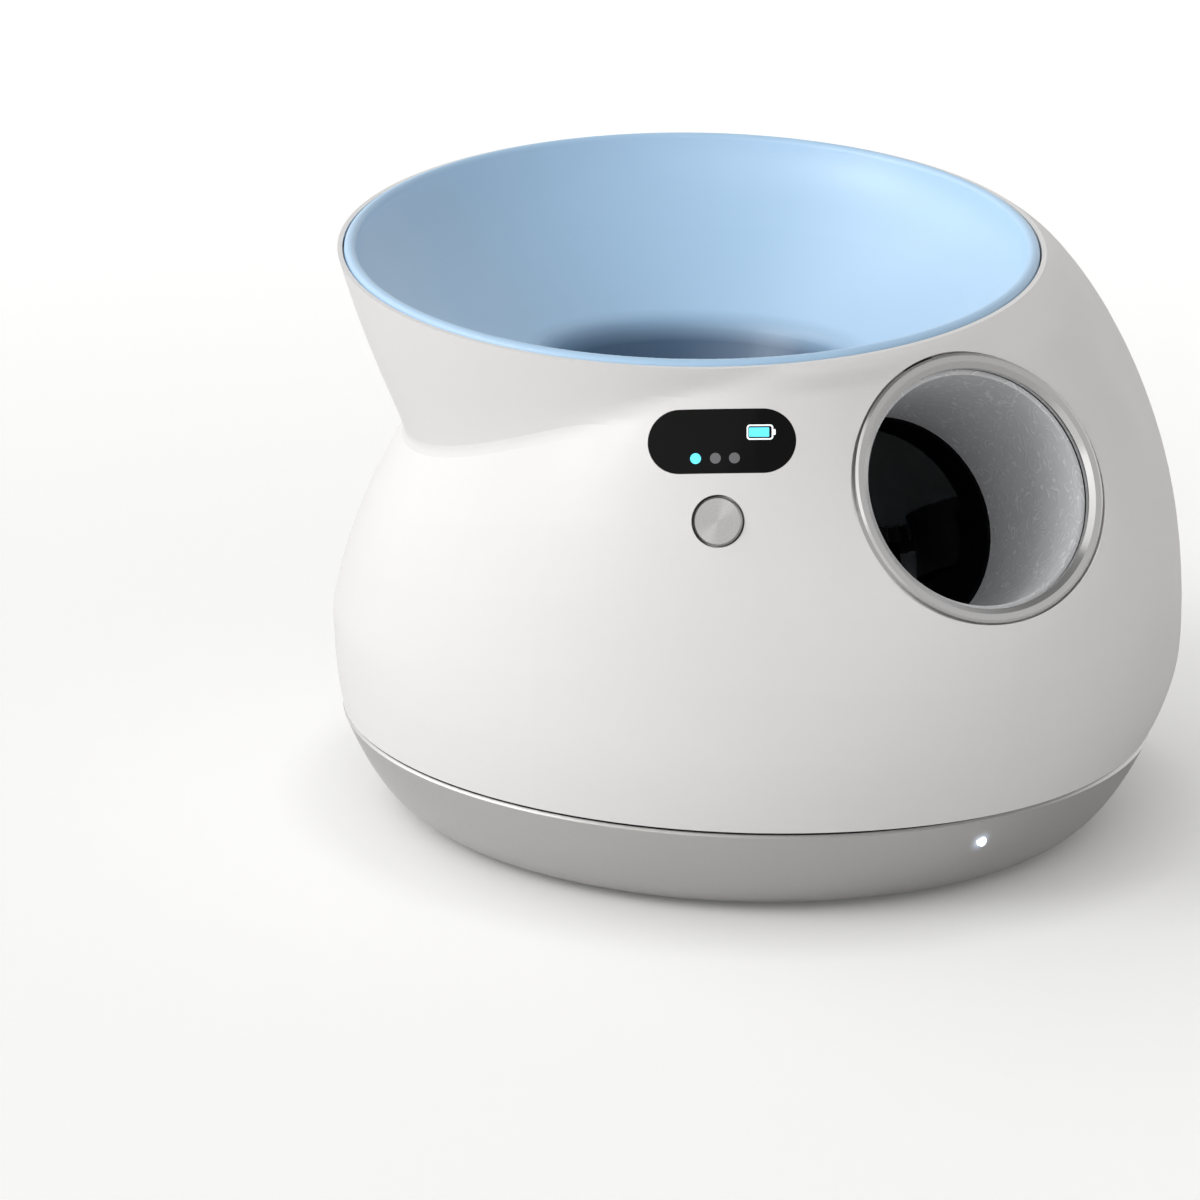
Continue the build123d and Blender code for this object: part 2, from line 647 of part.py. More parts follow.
with BuildPart() as launch_deck:
    # Plate
    with BuildSketch(deck.offset(DECK_UNDER)):
        deck_rectangle(-DECK_HALF, DECK_HALF, DECK_FRONT, DECK_MIDDLE)
        deck_rectangle(-WING_HALF, WING_HALF, WING_FRONT, WING_REAR)
        deck_rectangle(KICK_WING_IN, KICK_WING_OUT, KICK_WING_FRONT, DECK_REAR)
    extrude(amount=DECK_T)
    # Keel under the trough
    with BuildSketch(deck.offset(-DECK_DROP)):
        deck_rectangle(-TROUGH_WALL * 3, TROUGH_WALL * 3, BARREL_END, TROUGH_END - TROUGH_WALL)
    extrude(amount=DECK_DROP - TROUGH_BORE_R - TROUGH_WALL / 2)
    # Trough round the launch axis
    with BuildSketch(port.offset(-TROUGH_END)):
        Circle(TROUGH_BORE_R + TROUGH_WALL)
    extrude(amount=TROUGH_END - BARREL_END)
    with BuildSketch(port.offset(-TROUGH_END)):
        Circle(TROUGH_BORE_R)
    extrude(amount=TROUGH_END - BARREL_END, mode=Mode.SUBTRACT)
    # Open above for the ball, open at the left where it rolls in
    with BuildSketch(deck.offset(TROUGH_LIP)):
        deck_rectangle(-BALL_D, BALL_D, TROUGH_TOP_FROM, DECK_REAR)
    extrude(amount=BALL_D, mode=Mode.SUBTRACT)
    with BuildSketch(deck.offset(-TROUGH_BORE_R / 2)):
        deck_rectangle(-BALL_D, 0, WHEEL_DEPTH, DECK_REAR)
    extrude(amount=BALL_D, mode=Mode.SUBTRACT)
    # Slot for the kicker's arm
    with BuildSketch(deck.offset(-KICK_ARM_H / 2 - WHEEL_GAP)):
        deck_rectangle(0, BALL_D, WHEEL_DEPTH, DECK_REAR)
    extrude(amount=BALL_D, mode=Mode.SUBTRACT)
    # Windows for the wheels
    with BuildSketch(deck.offset(-WHEEL_T / 2 - WHEEL_GAP)):
        with Locations(*[(side, WHEEL_DEPTH) for side in wheel_spots.values()]):
            Circle(WHEEL_R + WHEEL_GAP)
    extrude(amount=WHEEL_T + 2 * WHEEL_GAP, mode=Mode.SUBTRACT)
    # Bearing towers of the wheels and of the kicker
    for side in wheel_spots.values():
        with Locations(deck_place(side, WHEEL_DEPTH, -DECK_DROP)):
            Cylinder(3 * SHAFT_R, DECK_DROP + tower_top, align=UP)
        drill([deck_place(side, WHEEL_DEPTH, tower_top)], SHAFT_R + 2 * FIT, DECK_DROP + tower_top)
        drill([deck_place(side, WHEEL_DEPTH, tower_top)], 2 * SHAFT_R, bush_t)
        drill([deck_place(side, WHEEL_DEPTH, -DECK_DROP)], 2 * SHAFT_R + FIT, DECK_T)
    with Locations(deck_place(KICK_SIDE, KICK_DEPTH, -DECK_DROP)):
        Cylinder(KICK_HUB_R, DECK_DROP + KICK_TOWER_TOP, align=UP)
    drill([deck_place(KICK_SIDE, KICK_DEPTH, KICK_TOWER_TOP)], KICK_PIN_R, DECK_DROP + DECK_T)
    drill(motor_screw_places, SMALL_SCREW_R + FIT, DECK_T)
    drill(deck_screw_places, SCREW_R + FIT, DECK_T)

deck_screws = pan_screws(deck_screw_places, SCREW_R, DECK_T + THREAD_ENTRY)
motor_screws = pan_screws(motor_screw_places, SMALL_SCREW_R, DECK_T + 3 * SMALL_SCREW_R)

with BuildPart() as wheel_bushes:
    with Locations(*[deck_place(side, WHEEL_DEPTH, tower_top) for side in wheel_spots.values()]):
        Cylinder(2 * SHAFT_R, bush_t, align=DOWN)
    drill([deck_place(side, WHEEL_DEPTH, tower_top) for side in wheel_spots.values()],
          SHAFT_R + RUNNING, bush_t)


# ---------------------------------------------------------------- flywheels and their motors

hub_r = WHEEL_R - TYRE_T


def flywheel_hub(side):
    """Hub with a web, holes through the web and a boss on the shaft."""
    with BuildPart() as hub:
        with Locations(deck_place(side, WHEEL_DEPTH)):
            Cylinder(hub_r, WHEEL_T)
        for face in (-1, 1):
            with BuildSketch(deck_place(side, WHEEL_DEPTH, face * HUB_WEB / 2)):
                Circle(hub_r - HUB_WEB)
                Circle(3 * SHAFT_R, mode=Mode.SUBTRACT)
            extrude(amount=face * WHEEL_T / 2, mode=Mode.SUBTRACT)
        with BuildSketch(deck_place(side, WHEEL_DEPTH, -HUB_WEB / 2)):
            with PolarLocations((hub_r - HUB_WEB + 3 * SHAFT_R) / 2, SPOKE_HOLES):
                Circle(SPOKE_HOLE_R)
            Circle(SHAFT_R)
        extrude(amount=HUB_WEB, mode=Mode.SUBTRACT)
        drill([deck_place(side, WHEEL_DEPTH, WHEEL_T / 2)], SHAFT_R, WHEEL_T)
    return hub


def flywheel_tyre(side):
    """Rubber tyre with a hollow tread that fits the ball."""
    centre = deck_place(side, WHEEL_DEPTH)
    with BuildPart() as tyre:
        with BuildSketch(Plane(origin=centre.origin, x_dir=ACROSS, z_dir=LAUNCH)):
            with BuildLine():
                Polyline((WHEEL_R, -WHEEL_T / 2), (hub_r, -WHEEL_T / 2), (hub_r, WHEEL_T / 2),
                         (WHEEL_R, WHEEL_T / 2))
                ThreePointArc((WHEEL_R, WHEEL_T / 2), (WHEEL_R - TREAD_DISH, 0),
                              (WHEEL_R, -WHEEL_T / 2))
            make_face()
        revolve(axis=Axis(centre.origin, ABOVE))
    return tyre


def motor_shaft(side):
    """Steel shaft from the motor, through the bearing tower, into the hub."""
    with BuildPart() as shaft:
        with Locations(deck_place(side, WHEEL_DEPTH, WHEEL_T / 2 + FIT)):
            Cylinder(SHAFT_R, WHEEL_T / 2 + DECK_DROP + DECK_T + MOTOR_L / 2, align=DOWN)
    return shaft


def motor(side):
    """Round motor under the deck, with a front boss and two terminals."""
    with BuildPart() as can:
        with Locations(deck_place(side, WHEEL_DEPTH, DECK_UNDER)):
            Cylinder(MOTOR_R, MOTOR_L, align=DOWN)
            Cylinder(2 * SHAFT_R, DECK_T / 2, align=UP)
        drill([deck_place(side, WHEEL_DEPTH, DECK_UNDER + DECK_T / 2)], SHAFT_R + RUNNING,
              MOTOR_L * 2 / 3)
        places = [deck_place(side + shift, WHEEL_DEPTH, DECK_UNDER)
                  for shift in (-MOTOR_SCREW_PITCH, MOTOR_SCREW_PITCH)]
        drill(places, SMALL_SCREW_R + THREAD_CLEAR, 4 * SMALL_SCREW_R)
        chamfer(can.edges().filter_by(GeomType.CIRCLE).sort_by(SortBy.RADIUS)[-2:], length=2 * FIT)
    return can


# ---------------------------------------------------------------- kicker and its drive


def tooth_edge(teeth, radius):
    """Half the angle of a tooth at a radius, for an involute flank with 20 degree pressure."""
    pitch_r = GEAR_MODULE * teeth / 2
    base_r = pitch_r * cos(radians(20))

    def involute(r):
        slope = sqrt(max((r / base_r) ** 2 - 1, 0))
        return slope - atan2(slope, 1)
    half = (pi * GEAR_MODULE / 2 - GEAR_BACKLASH) / (2 * pitch_r)
    return half + involute(pitch_r) - involute(max(radius, base_r))


def gear(place, teeth, bore_r, turned=0.0):
    """Spur gear standing on a frame, turned by an angle in degrees."""
    root_r = GEAR_MODULE * (teeth / 2 - 1.15)
    tip_r = GEAR_MODULE * (teeth / 2 + 0.8)
    radii = (root_r, (root_r + tip_r) / 2, tip_r)

    def at(index, side, radius):
        angle = radians(turned) + 2 * pi * index / teeth + side * tooth_edge(teeth, radius)
        return radius * cos(angle), radius * sin(angle)
    with BuildPart() as wheel:
        with BuildSketch(place):
            with BuildLine():
                for index in range(teeth):
                    ThreePointArc(*[at(index, -1, r) for r in radii])
                    Line(at(index, -1, tip_r), at(index, 1, tip_r))
                    ThreePointArc(*[at(index, 1, r) for r in reversed(radii)])
                    Line(at(index, 1, root_r), at(index + 1, -1, root_r))
            make_face()
            Circle(bore_r, mode=Mode.SUBTRACT)
        extrude(amount=GEAR_T)
    return wheel


kick_gear = gear(deck_place(KICK_SIDE, KICK_DEPTH, GEAR_Z), KICK_TEETH, KICK_PIN_R + RUNNING)
pinion_place = deck_place(KICK_SIDE + GEAR_PITCH, KICK_DEPTH, GEAR_Z)
feed_pinion = gear(pinion_place, PINION_TEETH, SHAFT_R, turned=180 / PINION_TEETH)

with BuildPart() as kicker_arm:
    with Locations(deck_place(KICK_SIDE, KICK_DEPTH, GEAR_Z)):
        Cylinder(KICK_HUB_R, GEAR_Z - KICK_TOWER_TOP - FIT, align=DOWN)
    with BuildSketch(deck_place(0, KICK_DEPTH - KICK_PADDLE_AHEAD + KICK_ARM_T / 2, -KICK_ARM_H / 2)):
        with Locations(((KICK_SIDE - KICK_TIP) / 2, 0)):
            Rectangle(KICK_SIDE + KICK_TIP, KICK_ARM_T)
    extrude(amount=KICK_ARM_H)
    fillet(kicker_arm.edges().filter_by(Axis(PORT, ABOVE)).sort_by(Axis(PORT, ACROSS))[:2],
           radius=KICK_ARM_T / 3)
    drill([deck_place(KICK_SIDE, KICK_DEPTH, GEAR_Z)], KICK_PIN_R + RUNNING, 2 * KICK_HUB_R + GEAR_T * 2)

pin_top = GEAR_Z + GEAR_T + GEAR_T / 2
with BuildPart() as kicker_pin:
    with Locations(deck_place(KICK_SIDE, KICK_DEPTH, pin_top)):
        Cylinder(KICK_PIN_R, pin_top - DECK_UNDER, align=DOWN)

with BuildPart() as kicker_clip:
    with BuildSketch(deck_place(KICK_SIDE, KICK_DEPTH, GEAR_Z + GEAR_T + FIT)):
        Circle(2 * KICK_PIN_R)
        Circle(KICK_PIN_R, mode=Mode.SUBTRACT)
        Rectangle(3 * KICK_PIN_R, KICK_PIN_R, align=(Align.MIN, Align.CENTER), mode=Mode.SUBTRACT)
    extrude(amount=KICK_PIN_R / 2)

feed_motor_top = GEAR_Z - FEED_MOTOR_GAP
with BuildPart() as feed_motor:
    with Locations(deck_place(KICK_SIDE + GEAR_PITCH, KICK_DEPTH, -DECK_DROP)):
        Cylinder(FEED_MOTOR_R, DECK_DROP + feed_motor_top, align=UP)
    drill([deck_place(KICK_SIDE + GEAR_PITCH, KICK_DEPTH, feed_motor_top)], SHAFT_R + RUNNING,
          DECK_DROP / 2)

with BuildPart() as feed_shaft:
    with Locations(deck_place(KICK_SIDE + GEAR_PITCH, KICK_DEPTH, GEAR_Z + GEAR_T + FIT)):
        Cylinder(SHAFT_R, DECK_DROP / 2, align=DOWN)

# ---------------------------------------------------------------- chassis

with BuildPart() as deck_posts:
    for spot in deck_post_spots:
        head = deck.from_local_coords((*spot, DECK_UNDER))
        with Locations(upright(head.X, head.Y, CHASSIS_TOP)):
            Cylinder(DECK_POST_R, head.Z - CHASSIS_TOP + DECK_POST_R, align=UP)
    with BuildSketch(deck.offset(DECK_UNDER)):
        Rectangle(6 * SEAM_R, 6 * SEAM_R)
    extrude(amount=SEAM_R, mode=Mode.SUBTRACT)
    drill([place.offset(-DECK_T) for place in deck_screw_places], SCREW_R + THREAD_CLEAR,
          THREAD_ENTRY + 2 * FIT)

shell_post_spots = [polar(SHELL_POST_RING_R, angle) for angle in SHELL_POST_ANGLES]
with BuildPart() as chassis:
    with BuildSketch(Plane.XY.offset(CHASSIS_Z)):
        Circle(CHASSIS_R)
    extrude(amount=CHASSIS_T)
    add(deck_posts.part)
    with Locations(*[upright(x, y, CHASSIS_Z) for x, y in shell_post_spots]):
        Cylinder(PILLAR_R, SHELL_POST_FOOT - CHASSIS_Z, align=UP)
    with Locations(*[upright(x, y, FLANGE_Z) for x, y in base_screw_spots]):
        Cylinder(2 * SCREW_R + FIT, THREAD_ENTRY + 1, align=UP)
    with Locations(*[upright(x, y, CHASSIS_TOP) for x, y in board_holes]):
        Cylinder(STAND_R, MAIN_STAND, align=UP)
    # Battery bay
    with BuildSketch(Plane.XY.offset(CHASSIS_TOP)):
        with Locations(((bay_left + bay_right) / 2, (bay_front + bay_back) / 2)):
            Rectangle(bay_right - bay_left + 2 * BAY_WALL, bay_back - bay_front + 2 * BAY_WALL)
            Rectangle(bay_right - bay_left, bay_back - bay_front, mode=Mode.SUBTRACT)
    extrude(amount=BAY_HEIGHT)
    # Holes of the screws
    drill([upright(x, y, FLANGE_Z + THREAD_ENTRY + FIT) for x, y in base_screw_spots],
          SCREW_R + THREAD_CLEAR, THREAD_ENTRY + FIT)
    drill([place.offset(-BOARD_T) for place in board_screw_places], SMALL_SCREW_R + THREAD_CLEAR,
          MAIN_STAND + FIT)
    drill([place.offset(-STRAP_T) for place in strap_screw_places], SMALL_SCREW_R + THREAD_CLEAR,
          CHASSIS_T)
    drill([upright(x, y, SHELL_POST_FOOT) for x, y in shell_post_spots], SCREW_R + FIT,
          SHELL_POST_FOOT - CHASSIS_Z)
    drill([upright(x, y, CHASSIS_TOP) for x, y in shell_post_spots], 2 * SCREW_R + FIT, CHASSIS_T)

shell_screw_places = [Plane(origin=(x, y, CHASSIS_TOP), z_dir=(0, 0, -1)) for x, y in shell_post_spots]
shell_screws = pan_screws(shell_screw_places, SCREW_R, SHELL_POST_FOOT - CHASSIS_TOP + THREAD_ENTRY)

# ---------------------------------------------------------------- charging socket

socket_seat = Plane(origin=(0, skin_radius(pi / 2, SOCKET_Z) - SOCKET_SUNK, SOCKET_Z),
                    x_dir=(-1, 0, 0), z_dir=(0, 1, 0))
with BuildPart() as charging_socket:
    with Locations(socket_seat):
        Cylinder(SOCKET_FLANGE_R, SOCKET_FLANGE_T, align=UP)
        Cylinder(SOCKET_R, SOCKET_LENGTH, align=DOWN)
    drill([socket_seat.offset(SOCKET_FLANGE_T)], SOCKET_BORE_R, SOCKET_DEPTH)
    with Locations(socket_seat.offset(SOCKET_FLANGE_T - SOCKET_DEPTH)):
        Cylinder(SOCKET_PIN_R, SOCKET_DEPTH - 1, align=UP)
    chamfer(charging_socket.edges().filter_by(GeomType.CIRCLE).group_by(Axis.Y)[-1], length=FIT)

socket_boss = socket_seat.offset(-SOCKET_GRIP)
with BuildPart() as socket_nut:
    with BuildSketch(socket_boss):
        RegularPolygon(NUT_R, 6)
        Circle(SOCKET_R + RUNNING, mode=Mode.SUBTRACT)
    extrude(amount=-NUT_T)

# ---------------------------------------------------------------- control panel

button_axis = panel_place(0, -BUTTON_DOWN)
stem_end = CONTROL_DEPTH - SWITCH_T - BUTTON_TRAVEL - FIT
flange_depth = WALL + 4 * FIT
module_depth = WALL + 4 * FIT
control_holes = [(x, y) for x in (-CONTROL_W / 2 + CONTROL_POST_R, CONTROL_W / 2 - CONTROL_POST_R)
                 for y in (CONTROL_FOOT + CONTROL_POST_R, CONTROL_TOP - CONTROL_POST_R)]


def panel_slot(grow):
    """Outline of the display, larger all round by `grow`."""
    with Locations(Location((-DISPLAY_LEFT, DISPLAY_UP, 0), (0, 0, DISPLAY_TILT))):
        SlotOverall(DISPLAY_W + 2 * grow, DISPLAY_H + 2 * grow)


with BuildPart() as display_window:
    with BuildSketch(panel.offset(-module_depth)):
        panel_slot(-WINDOW_GAP)
    extrude(amount=module_depth + WALL)
    add(outer_skin, mode=Mode.INTERSECT)

module_w = DISPLAY_W - DISPLAY_H / 2
with BuildPart() as display_module:
    with BuildSketch(panel_place(-DISPLAY_LEFT, DISPLAY_UP, CONTROL_DEPTH)):
        Rectangle(module_w, DISPLAY_H - WALL, rotation=DISPLAY_TILT)
    extrude(amount=CONTROL_DEPTH - module_depth)

with BuildPart() as control_board:
    with BuildSketch(panel.offset(-CONTROL_DEPTH)):
        with Locations((0, (CONTROL_TOP + CONTROL_FOOT) / 2)):
            Rectangle(CONTROL_W, CONTROL_TOP - CONTROL_FOOT)
    extrude(amount=-BOARD_T)
    drill([panel_place(x, y, CONTROL_DEPTH) for x, y in control_holes], SMALL_SCREW_R + FIT, BOARD_T)

control_screw_places = [
    Plane(origin=panel.from_local_coords((x, y, -CONTROL_DEPTH - BOARD_T)), x_dir=panel.x_dir,
          z_dir=-panel.z_dir) for x, y in control_holes]
control_screws = pan_screws(control_screw_places, SMALL_SCREW_R, BOARD_T + PILOT_DEPTH - FIT)

with BuildPart() as power_button:
    with Locations(button_axis.offset(BUTTON_PROUD)):
        Cylinder(BUTTON_R, BUTTON_PROUD + flange_depth, align=DOWN)
    with Locations(button_axis.offset(-flange_depth)):
        Cylinder(BUTTON_FLANGE_R, BUTTON_FLANGE_T, align=DOWN)
        Cylinder(STEM_R, stem_end - flange_depth, align=DOWN)
    chamfer(power_button.edges().filter_by(GeomType.CIRCLE).sort_by(Axis(panel.origin, panel.z_dir))[-1],
            length=BUTTON_GAP)

plunger_r = STEM_R - FIT
with BuildPart() as switch_plunger:
    with Locations(button_axis.offset(-stem_end)):
        Cylinder(plunger_r, CONTROL_DEPTH - stem_end - BUTTON_TRAVEL - FIT, align=DOWN)

with BuildPart() as button_switch:
    with Locations(button_axis.offset(-CONTROL_DEPTH)):
        Box(SWITCH_W, SWITCH_W, SWITCH_T, align=UP)
    drill([button_axis.offset(SWITCH_T - CONTROL_DEPTH)], plunger_r + RUNNING, SWITCH_T)

# ---------------------------------------------------------------- body shell

# Posts, webs and the button's guide inside the shell
with BuildPart() as shell_bosses:
    for x, y in shell_post_spots:
        with BuildSketch(Plane.XY.offset(WEB_FOOT)):
            with Locations(Location((x, y, 0), (0, 0, degrees(atan2(y, x))))):
                Rectangle(BELLY_RIGHT - SHELL_POST_RING_R, WEB_T, align=(Align.MIN, Align.CENTER))
        extrude(amount=SHELL_POST_TOP - WEB_FOOT)
    with BuildSketch(panel.offset(-CONTROL_DEPTH)):
        with Locations(*control_holes):
            Circle(CONTROL_POST_R)
    extrude(amount=CONTROL_DEPTH)
    with BuildSketch(button_axis.offset(-stem_end)):
        Circle(BUTTON_GUIDE_R + GUIDE_WALL)
    extrude(amount=stem_end)
    with Locations(socket_boss):
        Cylinder(NUT_R + 1, SOCKET_GRIP, align=UP)
    add(window_skin, mode=Mode.INTERSECT)
    with Locations(*[upright(x, y, SHELL_POST_FOOT) for x, y in shell_post_spots]):
        Cylinder(SHELL_POST_R, SHELL_POST_TOP - SHELL_POST_FOOT, align=UP)
    drill([upright(x, y, SHELL_POST_FOOT + THREAD_ENTRY + FIT) for x, y in shell_post_spots],
          SCREW_R + THREAD_CLEAR, THREAD_ENTRY + FIT)
    drill([panel_place(x, y, CONTROL_DEPTH - PILOT_DEPTH) for x, y in control_holes],
          SMALL_SCREW_R + THREAD_CLEAR, PILOT_DEPTH)
    drill([button_axis.offset(-stem_end / 4)], BUTTON_GUIDE_R, stem_end)
    drill([socket_seat], SOCKET_R + FIT, 2 * SOCKET_GRIP)

# Openings through the shell
with BuildPart() as shell_cuts:
    with Locations(ring_face.offset(-RING_SEAT)):
        Cylinder(RING_R + RING_GROOVE, 3 * WALL, align=UP)
    with Locations(ring_face):
        Cylinder(SLEEVE_R + FIT, 4 * WALL, align=DOWN)
    with BuildSketch(panel.offset(-2 * module_depth)):
        panel_slot(0)
    extrude(amount=2 * module_depth + WALL)
    with Locations(*[panel_place(x, y, CONTROL_DEPTH - PILOT_DEPTH) for x, y in control_holes]):
        Cylinder(SMALL_SCREW_R + THREAD_CLEAR, PILOT_DEPTH, align=DOWN)
    with Locations(button_axis.offset(WALL)):
        Cylinder(BUTTON_R + BUTTON_GAP, 2 * WALL + flange_depth, align=DOWN)
    with Locations(button_axis.offset(FIT - flange_depth)):
        Cylinder(BUTTON_GUIDE_R, flange_depth, align=DOWN)
    with Locations(socket_seat):
        Cylinder(SOCKET_FLANGE_R + FIT, 2 * WALL, align=UP)
        Cylinder(SOCKET_R + FIT, 2 * WALL, align=DOWN)

lip_space = Solid.make_loft([rim_ring(REBATE_R, LIP_DEPTH), rim_ring(REBATE_R, -LIP_DEPTH)], ruled=True)
with BuildPart() as body_shell:
    add(outer_skin)
    add(inner_skin, mode=Mode.SUBTRACT)
    add([lip_space, *shell_cuts.part.solids()], mode=Mode.SUBTRACT)
    add(shell_bosses.part)

# ---------------------------------------------------------------- port ring and barrel

with BuildPart() as port_ring:
    with BuildSketch(ring_section):
        with BuildLine():
            Polyline((RING_HOLE_R, -RING_SEAT), (RING_HOLE_R, RING_PROUD - RING_FALL_IN),
                     (RING_HOLE_R + RING_BEVEL_IN, RING_PROUD), (RING_R - RING_BEVEL_OUT, RING_PROUD),
                     (RING_R, RING_PROUD - RING_BEVEL_OUT / 2), (RING_R, -RING_SEAT),
                     (SLEEVE_R, -RING_SEAT), (SLEEVE_R, -SLEEVE_LENGTH),
                     (SLEEVE_R - SLEEVE_WALL, -SLEEVE_LENGTH), (SLEEVE_R - SLEEVE_WALL, -RING_SEAT),
                     close=True)
        make_face()
    revolve(axis=Axis(PORT, RING_OUT))

# The barrel runs out along the launch axis, its mouth cut parallel to the ring's face
with BuildPart() as launch_barrel:
    with BuildSketch(port.offset(-BARREL_END)):
        Circle(BARREL_R)
        Circle(BARREL_R - BARREL_WALL, mode=Mode.SUBTRACT)
    extrude(amount=BARREL_END + WALL)
    with BuildSketch(ring_face.offset(-RING_SEAT - BARREL_REST)):
        Circle(2 * BARREL_R)
    extrude(amount=3 * WALL, mode=Mode.SUBTRACT)

# ---------------------------------------------------------------- hopper and feed tube

bowl_run = (BOWL_R - SHOULDER_R) * BOWL_HOLLOW
bowl_slope = atan2(RIM_Z - SHOULDER_Z, bowl_run)
funnel_slope = radians(FUNNEL_SLOPE)


def level_ring(radius, z):
    """Round level section about the throat's axis."""
    points = [Vector(THROAT_X + radius * cos(2 * pi * index / RIM_POINTS),
                     THROAT_Y + radius * sin(2 * pi * index / RIM_POINTS), z)
              for index in range(RIM_POINTS)]
    return closed_curve(points)


def bowl_ring(share, wall):
    """Section of the bowl: leaning like the rim at share 0, level at the shoulder at share 1."""
    radius = BOWL_R - (BOWL_R - SHOULDER_R) * share ** BOWL_HOLLOW
    slope = atan2(RIM_Z - SHOULDER_Z, bowl_run * share ** (BOWL_HOLLOW - 1))
    radius += wall * sin(slope)
    centre_x = RIM_X + (THROAT_X - RIM_X) * share
    centre_y = RIM_Y + (THROAT_Y - RIM_Y) * share
    points = []
    for index in range(RIM_POINTS):
        angle = 2 * pi * index / RIM_POINTS
        x = centre_x + radius * cos(angle)
        y = centre_y + radius * sin(angle)
        top = rim_height(x, y, LIP_ROUND - LIP_PROUD)
        z = (1 - share) * top + share * SHOULDER_Z - wall * cos(slope)
        points.append(Vector(x, y, z))
    return closed_curve(points)


def shoulder_point(slope):
    """Radius and height on the rounded shoulder where it falls at a slope."""
    return (SHOULDER_R + SHOULDER_ROUND * (sin(bowl_slope) - sin(slope)),
            SHOULDER_Z + SHOULDER_ROUND * (cos(slope) - cos(bowl_slope)))


funnel_r, funnel_z = shoulder_point(funnel_slope)
throat_z = funnel_z - (funnel_r - THROAT_R) * tan(funnel_slope)


def shoulder_ring(share, wall):
    """Section of the rounded shoulder, from the bowl's slope to the funnel's."""
    slope = bowl_slope + (funnel_slope - bowl_slope) * share
    radius, z = shoulder_point(slope)
    return level_ring(radius + wall * sin(slope), z - wall * cos(slope))


def throat_rings(wall, under):
    """Sections down the straight funnel and the upright throat."""
    mitre_z = throat_z - wall * tan((pi / 2 - funnel_slope) / 2)
    top_r = funnel_r + wall * sin(funnel_slope)
    top_z = funnel_z - wall * cos(funnel_slope)
    shares = [step / BAND_STEPS for step in range(1, BAND_STEPS + 1)]
    rings = [level_ring(top_r + (THROAT_R + wall - top_r) * share, top_z + (mitre_z - top_z) * share)
             for share in shares]
    return rings + [level_ring(THROAT_R + wall, mitre_z + (THROAT_END - under - mitre_z) * share)
                    for share in shares]


def lip_edge(radius, side):
    """Sections over the lip's rounded edge, from its top down; side is 1 outside and -1 inside."""
    turns = [radians(90 - 90 * step / BAND_STEPS) for step in range(BAND_STEPS)]
    return [rim_ring(radius - side * LIP_ROUND * (1 - cos(turn)),
                     LIP_ROUND * (1 - sin(turn)) - LIP_PROUD) for turn in turns]


def bowl_rings(wall, under=0):
    """Sections down the bowl and the throat, whose lower end runs `under` further."""
    steps = BOWL_BANDS * BAND_STEPS
    rings = [bowl_ring(step / steps, wall) for step in range(steps + 1)]
    rings += [shoulder_ring(step / BAND_STEPS, wall) for step in range(1, BAND_STEPS + 1)]
    return rings + throat_rings(wall, under)


with BuildPart() as hopper_liner:
    add(stacked(lip_edge(LIP_R, 1) + [rim_ring(LIP_R, LIP_ROUND - LIP_PROUD)]))
    add(Solid.make_loft([rim_ring(LIP_R, LIP_ROUND - LIP_PROUD), rim_ring(LIP_R, LIP_DEPTH)], ruled=True))
    add(stacked(bowl_rings(LINER_WALL)))
    add(stacked(lip_edge(BOWL_R, -1) + bowl_rings(0, under=1)), mode=Mode.SUBTRACT)

collar_r = THROAT_R + LINER_WALL + FIT
feed_shift = Vector(FEED_END_X - THROAT_X, FEED_END_Y - THROAT_Y, FEED_END_Z - COLLAR_FOOT)
with BuildPart() as feed_tube:
    with BuildSketch(Plane.XY.offset(COLLAR_FOOT)):
        with Locations((THROAT_X, THROAT_Y)):
            Circle(collar_r + COLLAR_WALL)
            Circle(collar_r, mode=Mode.SUBTRACT)
    extrude(amount=COLLAR_TOP - COLLAR_FOOT)
    for radius, mode in ((collar_r + COLLAR_WALL, Mode.ADD), (collar_r, Mode.SUBTRACT)):
        with BuildSketch(Plane.XY.offset(COLLAR_FOOT)):
            with Locations((THROAT_X, THROAT_Y)):
                Circle(radius)
        with BuildSketch(Plane.XY.offset(FEED_END_Z)):
            with Locations((FEED_END_X, FEED_END_Y)):
                Circle(radius)
        loft(mode=mode)

sensor_z = (COLLAR_TOP + COLLAR_FOOT) / 2
with BuildPart() as ball_sensors:
    for angle in (90, 270):
        x, y = polar(collar_r + COLLAR_WALL, angle)
        with Locations(Location((THROAT_X + x, THROAT_Y + y, sensor_z), (0, 0, angle))):
            Box(SENSOR_T, SENSOR_W, SENSOR_H, align=(Align.MIN, Align.CENTER, Align.CENTER))

# ---------------------------------------------------------------- export

